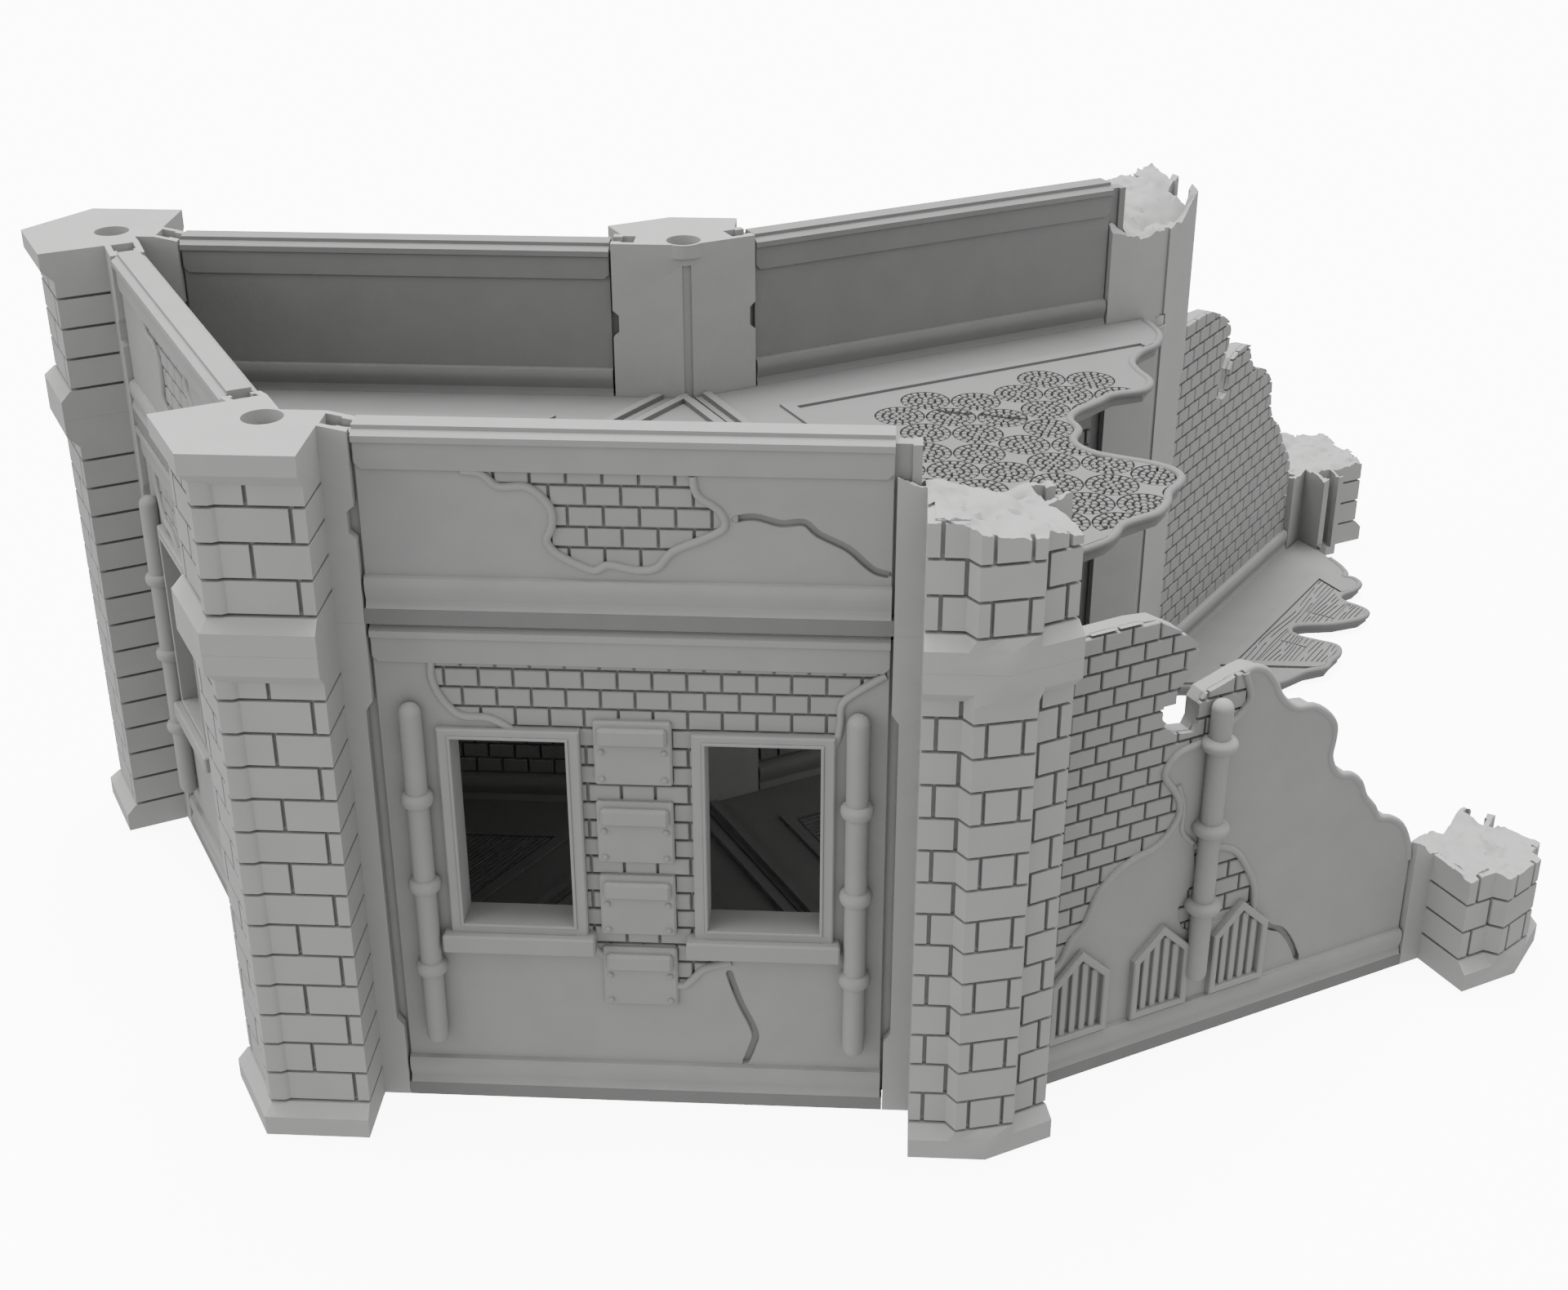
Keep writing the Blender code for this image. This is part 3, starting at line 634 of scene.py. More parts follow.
# %% Chamfered discs
DISC_R = 2.85
DISC_H = 4.2
SOCKET_DEPTH = 2.2
for name, corner, _, _ in PILLARS:
    disc = bmesh.new()
    bmesh.ops.create_cone(disc, cap_ends=True, segments=48, radius1=DISC_R, radius2=DISC_R,
                          depth=DISC_H, matrix=Matrix.Translation((0, 0, DISC_H / 2)))
    rims = [edge for edge in disc.edges if abs(edge.verts[0].co.z - edge.verts[1].co.z) < 0.01]
    soften_edges(disc, rims, 0.3, segments=2)
    show(name.replace("pillar", "locating_disc"), disc, corner, 0, LOWER_H - SOCKET_DEPTH)

# %% [markdown]
# ## Sections of a wall
# A panel is a core, a foot moulding, a fascia and a lip. Where bricks are laid bare, the
# core is thinner and a coat of plaster brings the face out to its full thickness again.

# %% Core, mouldings and tongues
TILE_H = 2.4
WALL_LOW = TILE_H + 0.02
WALL_START = 12.7
WALL_END = 87.3
PANEL_OFF = 1.9
CORE_OFF = 0.95
BRICK_FACE = 1.72
LOWER_TOP = LOWER_H - 0.02
UPPER_TOP = UPPER_H - 0.15
TONGUE = [(9, -1.5), (10.3, -1.5), (10.3, -1), (13.5, -1), (13.5, 1), (10.3, 1), (10.3, 1.5),
          (9, 1.5)]


def both_faces(half):
    """A section of (off, z) closed with its mirror image on the wall's other face."""
    return half + [(-off, z) for off, z in half[::-1]]


def foot_moulding(bm):
    low = TILE_H
    half = [(2.9, WALL_LOW), (2.45, low + 1.3), (2.9, low + 2.8), (2.9, low + 4.0)]
    half += [(2.6, low + 4.7), (1.2, low + 5.2)]
    run(bm, both_faces(half), WALL_START, WALL_END)


def head_mouldings(bm, top):
    left, right = WALL_START, WALL_END
    low, high = top - 6.4, top - 2.0
    outline = [(left, high), (left, low + 0.9), (left + 0.9, low), (right - 0.9, low)]
    stand(bm, outline + [(right, low + 0.9), (right, high)], -2.4, 2.4, SOFT)
    half = [(2.4, top - 2.45), (2.9, top - 2.2), (2.9, top - 1.25), (1.8, top - 0.6), (1.8, top)]
    run(bm, both_faces(half), WALL_START, WALL_END)


def tongues(bm, near_top, far_top):
    """The two upright tongues that slide in the pillars' slots."""
    lay(bm, TONGUE, WALL_LOW + 0.02, near_top)
    lay(bm, [(PITCH - s, off) for s, off in TONGUE], WALL_LOW + 0.02, far_top)


def trim_panel(bm, top):
    """What every whole panel has round its field."""
    foot_moulding(bm)
    head_mouldings(bm, top)
    tongues(bm, top - 1.5, top - 1.5)


def core_outline(top):
    return rectangle(WALL_START, WALL_END, WALL_LOW, top - 3)


def plaster_outline(top):
    return rectangle(WALL_START, WALL_END, TILE_H + 2, top - 5)


# %% Rows of bricks
BRICK = 5.05
BRICK_COURSE = 3.15
MORTAR = 0.42
BRICK_ROOT = 0.6
LEAST_BRICK = 0.8


def one_brick(bm, near, far, low, high, side):
    """Adds a block, and gives the faces on its show side."""
    size = (far - near - MORTAR, BRICK_FACE - BRICK_ROOT, high - low - MORTAR)
    off = -side * (BRICK_FACE + BRICK_ROOT) / 2
    middle = Vector(((near + far) / 2, off, (low + high) / 2))
    spot = Matrix.Translation(middle) @ Matrix.Diagonal((*size, 1))
    made = bmesh.ops.create_cube(bm, size=1, matrix=spot)
    faces = {face for vert in made["verts"] for face in vert.link_faces}
    return [face for face in faces
            if -face.calc_center_median().y * side > BRICK_FACE - 0.01]


def brick_field(bm, left, right, low, high, start, side=1):
    """Courses of bricks on one face of a wall: side 1 is the outer face, -1 the inner."""
    fronts = []
    number = 0
    z = low
    while z < high - 0.4:
        s = start - BRICK / 2 * (number % 2)
        while s < right:
            near = max(s, left)
            far = min(s + BRICK, right)
            if far - near > LEAST_BRICK:
                fronts += one_brick(bm, near, far, z, min(z + BRICK_COURSE, high), side)
            s += BRICK
        z += BRICK_COURSE
        number += 1
    soften_edges(bm, list({edge for face in fronts for edge in face.edges}), 0.14)


def inner_bricks(bm):
    brick_field(bm, 13.2, 86.8, 8.0, 76.8, 12.0, side=-1)


print("bricks are", BRICK, "by", BRICK_COURSE, "mm")

# %% [markdown]
# ## Pipes
# The pipes are turned shapes: a line of radius and height is spun about the pipe's axis.
# The collars are rounded like rings, and the ends are domes.

# %% A pipe with collars
DOME_STEPS = 6
COLLAR_STEPS = 8
COLLAR_HALF = 1.15


def pipe_outline(low, high, radius, collars, collar_radius):
    dome = []
    for step in range(1, DOME_STEPS + 1):
        turn = math.pi / 2 * step / DOME_STEPS
        dome.append((radius * math.sin(turn), radius * (1 - math.cos(turn))))
    outline = [(0.0, low)] + [(reach, low + rise) for reach, rise in dome]
    for z in collars:
        for step in range(COLLAR_STEPS + 1):
            turn = math.pi * (step / COLLAR_STEPS - 0.5)
            reach = radius + (collar_radius - radius) * math.cos(turn)
            outline.append((reach, z + COLLAR_HALF * math.sin(turn)))
    return outline + [(reach, high - rise) for reach, rise in dome[::-1]] + [(0.0, high)]


def pipe(bm, s, off, outline):
    turned = bmesh.new()
    chain = [turned.verts.new((r, 0, z)) for r, z in outline]
    edges = [turned.edges.new(pair) for pair in zip(chain, chain[1:])]
    bmesh.ops.spin(turned, geom=chain + edges, cent=(0, 0, 0), axis=(0, 0, 1),
                   angle=math.tau, steps=36, use_merge=True)
    bmesh.ops.remove_doubles(turned, verts=turned.verts, dist=0.001)
    bmesh.ops.recalc_face_normals(turned, faces=turned.faces)
    bmesh.ops.translate(turned, verts=turned.verts, vec=(s, -off, 0))
    join(bm, turned)


# %% [markdown]
# ## The lower walls with windows
# Two framed windows stand side by side over deep sills, with four riveted plates between
# them and a pipe near each pillar. The plaster has fallen from a patch round the windows,
# and its broken edge is a raised bead. Below the patch runs a crack.

# %% Outlines on the windowed wall
WINDOWS = [(23.2, 40.15), (60.65, 77.6)]
WINDOW_LOW = 33.3
WINDOW_HIGH = 65.7
LEFT_EDGE = [(21.1, 78.2), (21, 75), (22.4, 71.6), (25, 69), (29.2, 68.7), (33.5, 66)]
RIGHT_EDGE = [(79.2, 65), (80, 67), (80.4, 69.5), (80.6, 72.6), (83, 74.8), (86.8, 77.4)]
LOW_EDGE = [(42.2, 30), (44, 27.6), (50, 24.6), (55.8, 22.1), (57.7, 23), (59.9, 25.4),
            (64, 26.8)]
WALL_CRACK = [(63.6, 25.2), (64.3, 22.6), (65.5, 18.9), (67.6, 13.7), (67.2, 10.8), (65.9, 7.2)]
PLATE_TOPS = (69.0, 55.4, 42.4, 29.3)
CRACK_HALF = 0.55
PLASTER_BACK = 0.7
LIP_R = 0.62


def coat(bm, outline, holes):
    """A coat of plaster on the wall's outer face."""
    sheet_with_holes(bm, outline, holes, PLASTER_BACK, PANEL_OFF, SOFT)


def lip(bm, line, radius=LIP_R, sunk=0.1):
    """The raised bead along a broken edge of plaster."""
    bead(bm, line, radius, PANEL_OFF - sunk)


def crack_outline(line):
    return strip_outline(smooth_line(line), CRACK_HALF)


def bare_patch():
    left = smooth_line(LEFT_EDGE)
    low = smooth_line(LOW_EDGE)
    right = smooth_line(RIGHT_EDGE)
    first = [(22, 66), (22, 32.4), (41.5, 32.4)]
    second = [(64, 30), (62, 32.4), (78.8, 32.4), (78.8, 64.2)]
    return left + first + low + second + right + [(86.8, 78.5), (21.1, 78.5)]


# %% Frame, sill and plates
def opening(left, right, extra):
    """A window's outline, drawn a little larger than the window all round."""
    return rectangle(left - extra, right + extra, WINDOW_LOW - extra, WINDOW_HIGH + extra)


def window_frame(bm, left, right):
    outer = rectangle(left - 2.0, right + 2.1, 31.0, 67.3)
    sheet_with_holes(bm, outer, [opening(left, right, 0.3)], -2.7, 3.1, 0.25)
    sheet_with_holes(bm, opening(left, right, 0.5), [opening(left, right, 0)], -2.9, 3.3, SOFT)
    sill = rectangle(left - 3.3, right + 3.2, 28.5, 31.7)
    stand(bm, sill, -2.5, 4.4, 0.3)


def riveted_plate(bm, top):
    stand(bm, rectangle(44.25, 55.75, top - 10.7, top), 1.0, 2.6, 0.3)
    stand(bm, rectangle(44.9, 55.1, top - 3.9, top - 0.9), 1.0, 3.5, 0.45)
    for s in (45.35, 54.65):
        for z in (top - 9.6, top - 5.0):
            spot = Matrix.Translation((s, -2.6, z))
            bmesh.ops.create_uvsphere(bm, u_segments=10, v_segments=6, radius=0.5, matrix=spot)


def windowed_wall(node, corner, angle):
    bm = bmesh.new()
    brick_field(bm, 20.5, 87.1, 20.1, 78.2, 20.25)
    inner_bricks(bm)
    crack = crack_outline(WALL_CRACK)
    cutter = bmesh.new()
    for left, right in WINDOWS:
        stand(cutter, opening(left, right, 0.5), -9, 9)
    stand(cutter, crack, 0, 9)
    bm = carve(bm, cutter)
    holes = [opening(left, right, 0.4) for left, right in WINDOWS]
    sheet_with_holes(bm, core_outline(LOWER_TOP), holes, -CORE_OFF, CORE_OFF)
    coat(bm, plaster_outline(LOWER_TOP), [bare_patch(), crack])
    for edge in (LEFT_EDGE, RIGHT_EDGE, LOW_EDGE):
        lip(bm, smooth_line(edge))
    trim_panel(bm, LOWER_TOP)
    for left, right in WINDOWS:
        window_frame(bm, left, right)
    for top in PLATE_TOPS:
        riveted_plate(bm, top)
    outline = pipe_outline(11.0, 71.7, 1.7, (25.45, 40.5, 55.6), 2.5)
    for s in (17.7, 83.0):
        pipe(bm, s, 3.3, outline)
    show(node, bm, corner, angle, 0.0)


windowed_wall("wall_front_lower", FRONT_LEFT, 0)
windowed_wall("wall_left_lower", BACK_LEFT, -60)

# %% [markdown]
# ## The plain lower walls at the back
# Their outer faces are plain panels between the mouldings. Inside the room they are bare
# brick.

# %% Back walls, lower storey
def back_wall(node, corner, angle):
    bm = bmesh.new()
    inner_bricks(bm)
    sheet_with_holes(bm, core_outline(LOWER_TOP), [], -CORE_OFF, PANEL_OFF)
    trim_panel(bm, LOWER_TOP)
    show(node, bm, corner, angle, 0.0)


back_wall("wall_back_lower", BACK_MIDDLE, 180)
back_wall("wall_back_right_lower", BACK_RIGHT, 210)

# %% [markdown]
# ## The upper walls
# The upper panels are low. The front and left ones have a patch of bare brick with a bead
# round it, and a crack that runs on from it. The two at the back are plain on both faces.

# %% Upper panels
UPPER_PATCH = [
    (27.5, 107.6), (30.3, 107.3), (32.5, 105.4), (36.2, 105.5), (38.4, 104.1), (39.8, 101.9),
    (39.7, 99.4), (38.9, 97.5), (39.9, 95.7), (42.6, 94.0), (45.5, 92.9), (47.5, 93.8),
    (51.3, 93.1), (54.3, 93.5), (56.6, 96.1), (60.9, 98.1), (63.9, 100), (63.2, 102.5),
    (60.2, 104.8), (59.6, 107.6),
]
UPPER_CRACK = [
    (64.9, 101.1), (68.1, 101.6), (71.7, 100.7), (75, 100.9), (77, 99.2), (81.1, 97.1),
    (83.5, 94.9), (85.1, 93.7), (87.1, 93.2),
]


def lowered(line):
    """A line given at heights above the ground, at heights above the upper storey's foot."""
    return [(s, z - LOWER_H) for s, z in line]


def upper_wall(node, corner, angle, worn):
    bm = bmesh.new()
    if worn:
        patch = smooth_line(lowered(UPPER_PATCH))
        brick_field(bm, 26, 66, 5.8, 24.0, 24.3)
        sheet_with_holes(bm, core_outline(UPPER_TOP), [], -PANEL_OFF, CORE_OFF)
        patch_hole = patch + [(59.6, 24.5), (27.5, 24.5)]
        coat(bm, plaster_outline(UPPER_TOP), [patch_hole, crack_outline(lowered(UPPER_CRACK))])
        lip(bm, patch)
    else:
        sheet_with_holes(bm, core_outline(UPPER_TOP), [], -PANEL_OFF, PANEL_OFF)
    trim_panel(bm, UPPER_TOP)
    show(node, bm, corner, angle, LOWER_H)


upper_wall("wall_front_upper", FRONT_LEFT, 0, True)
upper_wall("wall_left_upper", BACK_LEFT, -60, True)
upper_wall("wall_back_upper", BACK_MIDDLE, 180, False)
upper_wall("wall_back_right_upper", BACK_RIGHT, 210, False)

# %% [markdown]
# ## The broken walls
# Two lower walls are ruined: their outline is torn. The core is a filled curve on that
# outline, and the bricks are trimmed to it by a Boolean. On the right wall much of the
# plaster still hangs, with a bare patch behind the pipe and a crack at the foot.

# %% Torn outlines
TORN_END = 20.5
RIGHT_WALL_TEAR = [
    (13, 79.4), (19, 79.7), (26, 79.8), (30, 79.4), (34.5, 76.8), (37.9, 74),
    (38, 71), (36, 70.4), (37, 68.6), (34.6, 67), (34.6, 64.4), (32.4, 64.4), (32.3, 62.4),
    (33.4, 60.1), (35, 59), (38.4, 58.5), (39.1, 60), (39.1, 63.2), (40.2, 64.8), (43, 65.6),
    (46.6, 66.8), (48.8, 67.2), (51.2, 66.2), (53.2, 63.8), (54.6, 61.2), (56.4, 59.1),
    (58.6, 57.7), (61.9, 57.2), (65, 55), (66.7, 52.6), (66.9, 50), (66.6, 47), (67.6, 44.4),
    (69.4, 42.6), (71.6, 42), (73.8, 40), (75.2, 37), (77.4, 34.4), (78.9, 31.9), (81.5, 31),
    (84.4, 28.8), (86.4, 25), (87.2, 21.4),
]
FAR_WALL_TEAR = [
    (13, 79.2), (14.4, 79.4), (22.6, 79.4), (29, 78.6), (33.8, 76.7), (38.6, 74), (40.2, 71.6),
    (39.8, 68.6), (37, 64.1), (35.8, 60), (36.6, 57.2), (38.6, 56.2), (41, 56.8), (41.8, 59),
    (41.8, 62), (43.2, 64), (46, 65), (49.6, 65.2), (52.8, 64.4), (54, 61), (56.4, 58.2),
    (60, 57), (63.6, 55.6), (66.4, 53.4), (68.8, 50.8), (69.2, 47), (70.2, 43.4), (72.6, 40.4),
    (76, 38.4), (78, 36), (80.6, 32), (84, 28.8), (86.4, 26), (87.2, 23),
]


def torn_outline(tear):
    outline = [(WALL_START, WALL_LOW), (WALL_START, tear[0][1])] + tear
    return outline + [(WALL_END, TORN_END), (WALL_END, WALL_LOW)]


def torn_bricks(tear):
    bricks = bmesh.new()
    brick_field(bricks, 12.8, 87.2, 7.0, 82.0, 10.4)
    cutter = bmesh.new()
    stand(cutter, torn_outline(tear), -6, 6)
    return carve(bricks, cutter, "INTERSECT")


def torn_core(bm, tear):
    sheet_with_holes(bm, torn_outline(tear), [], -PANEL_OFF, CORE_OFF, 0.1)


def trim_torn_panel(bm):
    foot_moulding(bm)
    tongues(bm, 79.2, 15.5)


# %% Gratings at the foot of the right wall
def grating(bm, middle):
    shell = [(-5.5, 7.6), (5.5, 7.6), (5.5, 18.9), (0, 24.2), (-5.5, 18.9)]
    well = [(-4.3, 8.8), (4.3, 8.8), (4.3, 18.4), (0, 22.5), (-4.3, 18.4)]
    shell = [(middle + s, z) for s, z in shell]
    well = [(middle + s, z) for s, z in well]
    sheet_with_holes(bm, shell, [well], 1.0, 3.2, 0.2)
    for s in (-2.85, -0.95, 0.95, 2.85):
        top = 22.6 - abs(s) * 0.95
        bar = rectangle(middle + s - 0.55, middle + s + 0.55, 8.2, top)
        stand(bm, bar, 1.0, 2.7, SOFT)


# %% The right wall
COAT_EDGE = [
    (12.7, 21), (16, 22.2), (18, 26.1), (20.6, 28.7), (23, 34.2), (27.8, 37.8), (33.4, 39.5),
    (36.8, 43.5), (36.8, 46.8), (35.3, 49.5), (33.6, 52), (34.2, 54), (36.4, 55.7), (40.9, 56.4),
]
COAT_TOP = [(43, 57.4), (46.3, 59), (48.4, 61.2), (48.7, 63.2), (47.3, 66.9)]
PIPE_PATCH = [(40.6, 37.5), (45.8, 35.7), (49.3, 33.8), (52.2, 29.5), (53.9, 25.5), (54.1, 21.3)]
PIPE_PATCH_LEFT = [(41.7, 21), (39.8, 22.2), (38.8, 26), (40, 28.5), (41.5, 30.9), (41.2, 34)]
COAT_FOLD = [(36.3, 49.8), (37.8, 45.5), (37.9, 41), (40.2, 38.2)]
COAT_CRACK = [(55.2, 19.6), (58.1, 16.5), (60.8, 15), (63.2, 11.8), (65.3, 7.4)]
GRATINGS = (19.9, 35.6, 51.3)


def right_wall():
    crack = crack_outline(COAT_CRACK)
    cutter = bmesh.new()
    stand(cutter, crack, 0, 9)
    bm = carve(torn_bricks(RIGHT_WALL_TEAR), cutter)
    torn_core(bm, RIGHT_WALL_TEAR)
    edge = smooth_line(COAT_EDGE)
    top = smooth_line(COAT_TOP)
    arc = smooth_line(PIPE_PATCH)
    hollow = arc + smooth_line(PIPE_PATCH_LEFT)
    tear = [point for point in RIGHT_WALL_TEAR if point[0] > 48]
    foot = [(WALL_END, TORN_END), (WALL_END, TILE_H + 2), (WALL_START, TILE_H + 2)]
    coat(bm, edge + top + tear + foot, [hollow, crack])
    lip(bm, edge)
    lip(bm, smooth_line(COAT_FOLD), radius=0.5)
    lip(bm, top)
    lip(bm, arc)
    lip(bm, smooth_line([(47.3, 66.6)] + tear, steps=3), radius=0.7, sunk=0.35)
    trim_torn_panel(bm)
    for middle in GRATINGS:
        grating(bm, middle)
    pipe(bm, 42.3, 3.4, pipe_outline(12.0, 64.2, 1.75, (26.6, 41.2, 56.4), 3.0))
    show("wall_right_broken", bm, FRONT_MIDDLE, 30, 0.0)


right_wall()


# %% The far wall
def far_wall():
    bm = torn_bricks(FAR_WALL_TEAR)
    torn_core(bm, FAR_WALL_TEAR)
    trim_torn_panel(bm)
    show("wall_far_broken", bm, BACK_RIGHT, 60, 0.0)


far_wall()

# %% [markdown]
# ## Floor tiles
# The thin tiles are copies of their CAD nodes, which have the ribs along the seams and the
# raised band round an inner field. Six of the fields are laid with planks. A field is drawn
# as one flat face, cut down on each side by a plane, and the planks are cut from it likewise.

# %% Corners, and a field cut down by planes
LATTICE = {
    "front_left": (0.0, 0.0),
    "front_middle": (100.0, 0.0),
    "back_left": (-50.0, 86.603),
    "back_middle": (50.0, 86.603),
    "back_right": (136.603, 136.603),
    "right": (186.603, 50.0),
    "far": (186.603, 223.205),
    "corner": (236.603, 136.603),
}
FIELD_FROM_WALL = 16.1
FIELD_FROM_SEAM = 13.7
RIM_R = 0.75


def trim_side(bm, point, outward):
    geom = bm.verts[:] + bm.edges[:] + bm.faces[:]
    bmesh.ops.bisect_plane(bm, geom=geom, plane_co=point, plane_no=outward, clear_outer=True)


def flat_field(names, walled, level, margin=0.3):
    """One flat face on the tile's inner field. Corners run anticlockwise."""
    corners = [Vector((*LATTICE[name], level)) for name in names]
    bm = bmesh.new()
    bm.faces.new([bm.verts.new(corner) for corner in corners])
    for here, corner in enumerate(corners):
        ahead = (corners[(here + 1) % len(corners)] - corner).normalized()
        inward = Vector((-ahead.y, ahead.x, 0))
        inset = (FIELD_FROM_WALL if walled[here] else FIELD_FROM_SEAM) + margin
        trim_side(bm, corner + inward * inset, -inward)
    return bm


def thicken(bm, reach):
    bmesh.ops.translate(bm, verts=extrude(bm, bm.faces[:]), vec=(0, 0, reach))
    bmesh.ops.recalc_face_normals(bm, faces=bm.faces)


# %% Planks with carved grain
PLANK_LOW = 0.6
PLANK_TOP = 0.32
SEAM = 0.24
GRAIN_STEP = 1.3
GRAIN_HALF = 0.17
GRAIN_DEPTH = 0.5


def one_plank(names, walled, level, angle, near, far, ends):
    ahead, side = ahead_and_side(angle)
    bm = flat_field(names, walled, level - PLANK_LOW)
    trim_side(bm, side * (near + SEAM), -side)
    trim_side(bm, side * (far - SEAM), side)
    trim_side(bm, ahead * (ends[0] + SEAM), -ahead)
    trim_side(bm, ahead * (ends[1] - SEAM), ahead)
    if bm.faces:
        thicken(bm, PLANK_LOW + PLANK_TOP)
        soften_edges(bm, edges_above(bm, level + 0.3), SOFT)
    return bm


def grain_shift(along, across, knots):
    """Where a grain line runs: it wavers, and parts round each knot."""
    wave = 0.9 * noise.noise(Vector((along * 0.06, across * 0.22, 3.1)))
    for knot_along, knot_across in knots:
        gap = across - knot_across
        pull = math.exp(-((along - knot_along) / 2.6) ** 2) * math.exp(-abs(gap) / 1.3)
        wave += 1.05 * pull * (1 if gap > 0 else -1)
    return across + wave


def grain_cutters(bm, level, angle, near, far, start, end, knots, rng):
    ahead, side = ahead_and_side(angle)
    across = near + 0.7
    while across < far - 0.5:
        along = start + rng.uniform(-4, 0)
        while along < end:
            length = rng.uniform(9, 26)
            line = []
            for step in range(int(length / GRAIN_STEP) + 2):
                here = along + step * GRAIN_STEP
                point = ahead * here + side * grain_shift(here, across, knots)
                line.append((point.x, point.y))
            groove = strip_outline(line, GRAIN_HALF)
            lay(bm, groove, level + PLANK_TOP - GRAIN_DEPTH, level + 2)
            along += length + rng.uniform(1.6, 3.5)
        across += rng.uniform(0.8, 1.15)


def plank_floor(names, walled, level, angle, widths, joints, seed, knots=()):
    """Planks along angle, from the field's near side; joints break some of them."""
    rng = random.Random(seed)
    ahead, side = ahead_and_side(angle)
    field = flat_field(names, walled, level)
    reach = [vert.co.dot(side) for vert in field.verts]
    length = [vert.co.dot(ahead) for vert in field.verts]
    field.free()
    planks = bmesh.new()
    grain = bmesh.new()
    near = min(reach)
    number = 0
    while near < max(reach):
        far = near + widths[number % len(widths)]
        breaks = [min(length) + place for place in joints[number % len(joints)]]
        stops = [min(length) - 1] + breaks + [max(length) + 1]
        for ends in zip(stops, stops[1:]):
            join(planks, one_plank(names, walled, level, angle, near, far, ends))
        grain_cutters(grain, level, angle, near, far, min(length), max(length), knots, rng)
        near = far
        number += 1
    return carve(planks, grain)


# %% The torn edges of two tiles
UPPER_LOST = [
    (135, 131), (137, 123.5), (135.8, 117), (132.4, 112.5), (130.4, 107), (131.2, 102),
    (132.8, 97), (131.2, 92.4), (125.4, 89.6), (122.6, 86), (118.4, 81), (117.2, 77),
    (118.4, 72.6), (117.2, 68), (118, 64.6), (120.4, 61.8), (124, 60), (129, 58),
    (132.4, 55.6), (133.7, 52.6), (132.8, 49.2), (131, 46), (130.2, 41.6), (128.3, 37.6),
    (125.6, 35.4), (122.4, 32.6), (121, 29), (119.2, 26.2), (116, 23.4), (112.6, 20.6),
    (110.6, 17), (109.4, 13), (107.4, 9.6),
]
GROUND_LOST = [
    (149.5, 138.4), (155, 138.6), (160, 138.2), (166, 139.4), (171.6, 141.8), (177, 146.6),
    (182, 149), (183.6, 152), (186.2, 156), (186.2, 159.4), (182, 161.6), (178.6, 163.4),
    (177, 166), (178, 168.8), (181.6, 169.8), (187.2, 170.6), (193.6, 173.4), (196.2, 176.8),
    (194.6, 179.6), (192, 181.6), (191, 184), (192, 186.2), (195, 188.6), (197.2, 192),
    (196.4, 194.8), (194.4, 196), (195, 198), (194.4, 201.6), (192.6, 206),
]


# %% Whole planked tiles
FRONT_TILE = (("front_left", "front_middle", "back_middle"), (True, False, False))
LEFT_TILE = (("front_left", "back_middle", "back_left"), (False, True, True))
SQUARE_TILE = (("front_middle", "right", "back_right", "back_middle"),
               (True, False, True, False))
FAR_TILE = (("back_right", "corner", "far"), (False, False, True))
GROUND = 2.4
UPPER = 86.6
PLANK_WIDTHS = (5.6, 6.4, 5.0)
PLANK_JOINTS = ((), (22,), (41,))


def floor_copy(node):
    return cad_copy(node, FRONT_LEFT, 0, 0.0)


def show_floor(node, bm):
    show(node, bm, FRONT_LEFT, 0, 0.0)


def plain_floor(node, names, walled, level, angle, seed, knots=()):
    bm = floor_copy(node)
    join(bm, plank_floor(names, walled, level, angle, PLANK_WIDTHS, PLANK_JOINTS, seed, knots))
    show_floor(node, bm)


plain_floor("floor_ground_front_triangle", *FRONT_TILE, GROUND, 0, 5, ((52.0, 33.0),))
plain_floor("floor_ground_left_triangle", *LEFT_TILE, GROUND, 60, 6)
plain_floor("floor_ground_square", *SQUARE_TILE, GROUND, 30, 7)
plain_floor("floor_upper_front_triangle", *FRONT_TILE, UPPER, 0, 8)
plain_floor("floor_upper_left_triangle", *LEFT_TILE, UPPER, 60, 9)


# %% The broken ground tile
def broken_ground_tile():
    node = "floor_ground_broken_triangle"
    bm = floor_copy(node)
    widths = (6.4, 6.4, 4.2, 8.6)
    knots = ((206.0, -58.0),)
    planks = plank_floor(*FAR_TILE, GROUND, 60, widths, ((), (), (14, 31)), 10, knots)
    cutter = bmesh.new()
    beyond = [(192.6, 230), (260, 230), (260, 110), (149.5, 110)]
    lay(cutter, GROUND_LOST + beyond, GROUND - 3, GROUND + 3)
    join(bm, carve(planks, cutter))
    bead(bm, smooth_line(GROUND_LOST), RIM_R, GROUND - 0.35, flat=True)
    show_floor(node, bm)


broken_ground_tile()

# %% [markdown]
# ## Cobbles
# The broken upper tile is paved. Its cobbles lie in rings inside touching circles, seven
# circles to a rosette. Each circle is sunk a little into the tile, and each stone is a
# small wedge with softened edges. Only stones well inside the field are laid, and those
# beyond the torn edge or along the crack are cut away.

# %% Rosettes of circles
CIRCLE_R = 4.43
ROSETTE_STEP = 8.86
ROSETTES = [(0, 0), (1, 0), (1, -1), (0, -1), (1, -2), (2, -2), (1, -3)]
ROSETTE_START = Vector((96.8, 76.8, 0))
ROSETTE_PITCH = 24.2
SUNK = 0.9


def rosette_circles():
    circles = []
    for i, j in ROSETTES:
        middle = ROSETTE_START + unit(30) * ROSETTE_PITCH * i + unit(90) * ROSETTE_PITCH * j
        circles.append(middle)
        circles += [middle + unit(60 * turn) * ROSETTE_STEP for turn in range(6)]
    return circles


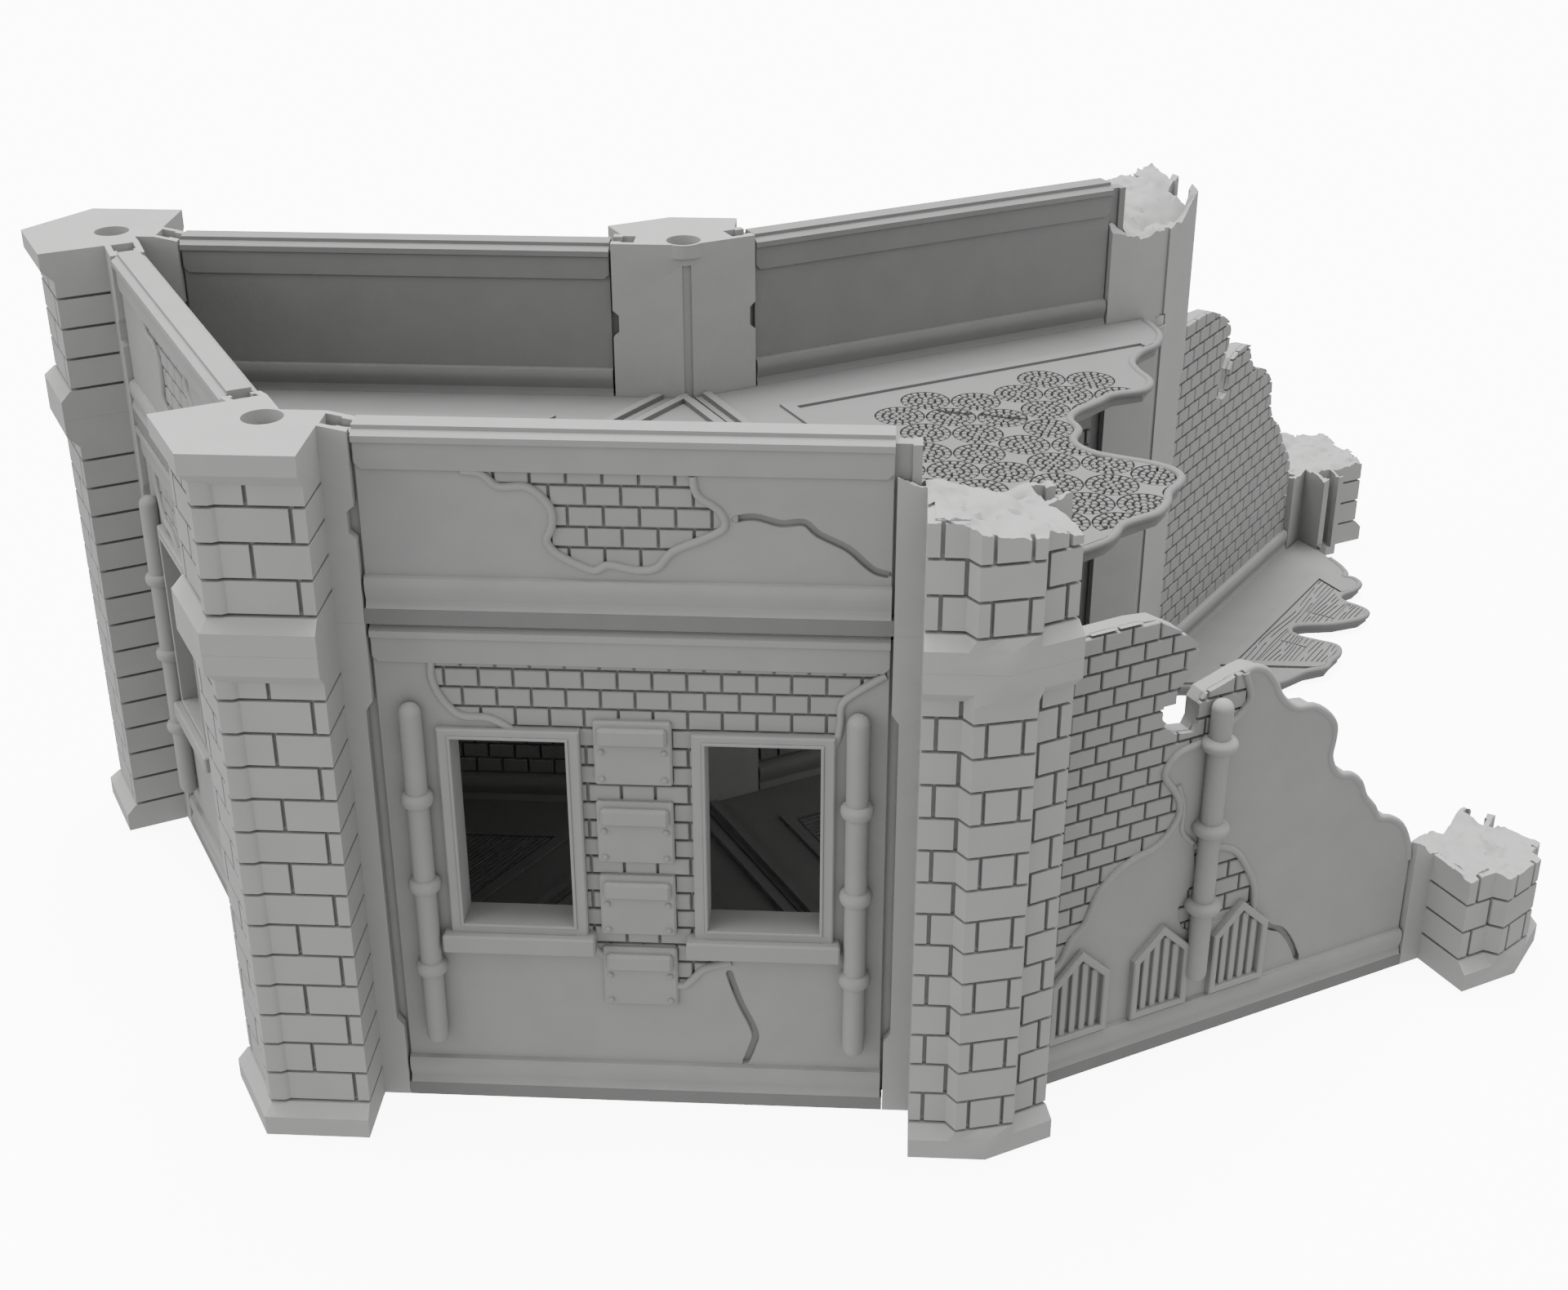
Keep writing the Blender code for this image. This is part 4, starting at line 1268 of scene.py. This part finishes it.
def inside(outline, x, y):
    """Whether a point is inside: a ray from it then crosses the outline an odd number of times."""
    crossings = 0
    for (x0, y0), (x1, y1) in zip(outline, outline[1:] + outline[:1]):
        if (y0 > y) != (y1 > y) and x < (x1 - x0) * (y - y0) / (y1 - y0) + x0:
            crossings += 1
    return crossings % 2 == 1


def kept_stone(outline, x, y):
    near = [(x, y), (x + 0.7, y), (x - 0.7, y), (x, y + 0.7), (x, y - 0.7)]
    return all(inside(outline, px, py) for px, py in near)


# %% Wedge-shaped stones
RING_STEP = 1.2
LAST_RING = 3
STONE_HALF = 0.39
STONE_GAP = 0.2
MIDDLE_STONE_R = 0.55


def round_point(middle, radius, turn):
    return middle[0] + radius * math.cos(turn), middle[1] + radius * math.sin(turn)


def lay_stone(bm, points):
    lay(bm, points, UPPER - SUNK - 0.1, UPPER + 0.02)


def middle_stone(bm, place):
    turns = [step * math.pi / 3 for step in range(6)]
    lay_stone(bm, [round_point(place, MIDDLE_STONE_R, turn) for turn in turns])


def ring_stone(bm, middle, ring, count, turn):
    radius = ring * RING_STEP
    half = math.pi / count - STONE_GAP / radius
    inner = radius - STONE_HALF
    outer = radius + STONE_HALF + (0.12 if ring == LAST_RING else 0)
    start, end = turn - half, turn + half
    points = [round_point(middle, inner, side) for side in (start, end)]
    points += [round_point(middle, outer, side) for side in (end, (start + end) / 2, start)]
    lay_stone(bm, points)


def cobbles(outline):
    bm = bmesh.new()
    rng = random.Random(31)
    for middle in rosette_circles():
        for ring in range(LAST_RING + 1):
            count = 6 * ring if ring else 1
            shift = rng.uniform(0, 1)
            for number in range(count):
                turn = math.tau * (number + shift) / count
                place = round_point(middle, ring * RING_STEP, turn)
                if not kept_stone(outline, *place):
                    continue
                if ring == 0:
                    middle_stone(bm, place)
                else:
                    ring_stone(bm, middle, ring, count, turn)
    soften_edges(bm, edges_above(bm, UPPER), SOFT)
    return bm


# %% The broken upper tile
PAVING_CRACK = [(93.6, 80.5), (96.5, 79), (99.5, 78.6), (102.6, 78.4), (105.4, 77.2),
                (108.4, 76.9), (112.6, 76.2)]


def sink_circles(bm, field):
    """Takes the part of each circle that is inside the field out of the tile."""
    circles = bmesh.new()
    radius = CIRCLE_R - 0.02
    for middle in rosette_circles():
        spot = Matrix.Translation((middle.x, middle.y, UPPER))
        bmesh.ops.create_cone(circles, cap_ends=True, segments=40, radius1=radius,
                              radius2=radius, depth=3, matrix=spot)
    return carve(bm, carve(field, circles, "INTERSECT"))


def broken_upper_tile():
    node = "floor_upper_square_broken"
    bm = floor_copy(node)
    field = flat_field(*SQUARE_TILE, UPPER - SUNK)
    outline = [(vert.co.x, vert.co.y) for vert in field.faces[:][0].verts]
    thicken(field, 3)
    bm = sink_circles(bm, field)
    lost = bmesh.new()
    beyond = [(112, -10), (220, 40), (220, 150), (136, 150)]
    lay(lost, UPPER_LOST + beyond, UPPER - 3, UPPER + 3)
    stones = carve(cobbles(outline), lost)
    crack = bmesh.new()
    groove = strip_outline(smooth_line(PAVING_CRACK), 0.5)
    lay(crack, groove, UPPER - SUNK + 0.05, UPPER + 3)
    join(bm, carve(stones, crack))
    bead(bm, smooth_line(UPPER_LOST), RIM_R, UPPER - 0.35, flat=True)
    show_floor(node, bm)


broken_upper_tile()

# %% [markdown]
# ## The camera, the floor and the light
# A plain white floor that is bright by itself, and soft light from above, keep the shadows
# open, as in a studio. The floor gives no light to the object.

# %% Camera
camera_data = bpy.data.cameras.new("camera")
camera_data.lens = 50
camera_data.sensor_width = 36
camera = bpy.data.objects.new("camera", camera_data)
bpy.context.scene.collection.objects.link(camera)
camera.location = ((FRONT_LEFT.x + 87.1) * MM, (FRONT_LEFT.y - 277.1) * MM, 223.2 * MM)
camera.rotation_euler = (math.radians(62.86), 0, math.radians(3.11))
bpy.context.scene.camera = camera


# %% Floor and lights
def pale_floor():
    material = bpy.data.materials.new("pale_floor")
    material.use_nodes = True
    shader = material.node_tree.nodes["Principled BSDF"]
    set_inputs(shader, {"Base Color": (0.9, 0.9, 0.9, 1), "Roughness": 0.9})
    set_inputs(shader, {"Emission Color": (1, 1, 1, 1), "Emission Strength": 9.0})
    bm = bmesh.new()
    bmesh.ops.create_grid(bm, x_segments=1, y_segments=1, size=6)
    mesh = bpy.data.meshes.new("floor")
    bm.to_mesh(mesh)
    bm.free()
    mesh.materials.append(material)
    floor = bpy.data.objects.new("floor", mesh)
    floor.location.z = -0.0004
    floor.visible_diffuse = False
    floor.visible_glossy = False
    bpy.context.scene.collection.objects.link(floor)


def sun(name, reach, strength, width):
    data = bpy.data.lights.new(name, "SUN")
    data.energy = strength
    data.angle = math.radians(width)
    lamp = bpy.data.objects.new(name, data)
    lamp.rotation_euler = Vector(reach).to_track_quat("-Z", "Y").to_euler()
    bpy.context.scene.collection.objects.link(lamp)


pale_floor()
world = bpy.data.worlds.new("studio")
world.use_nodes = True
set_inputs(world.node_tree.nodes["Background"], {"Color": (1, 1, 1, 1), "Strength": 1.05})
bpy.context.scene.world = world
sun("overhead", (0.05, -0.22, -1), 8.0, 40)
sun("left_side", (1.0, 0.5, -0.45), 0.9, 40)
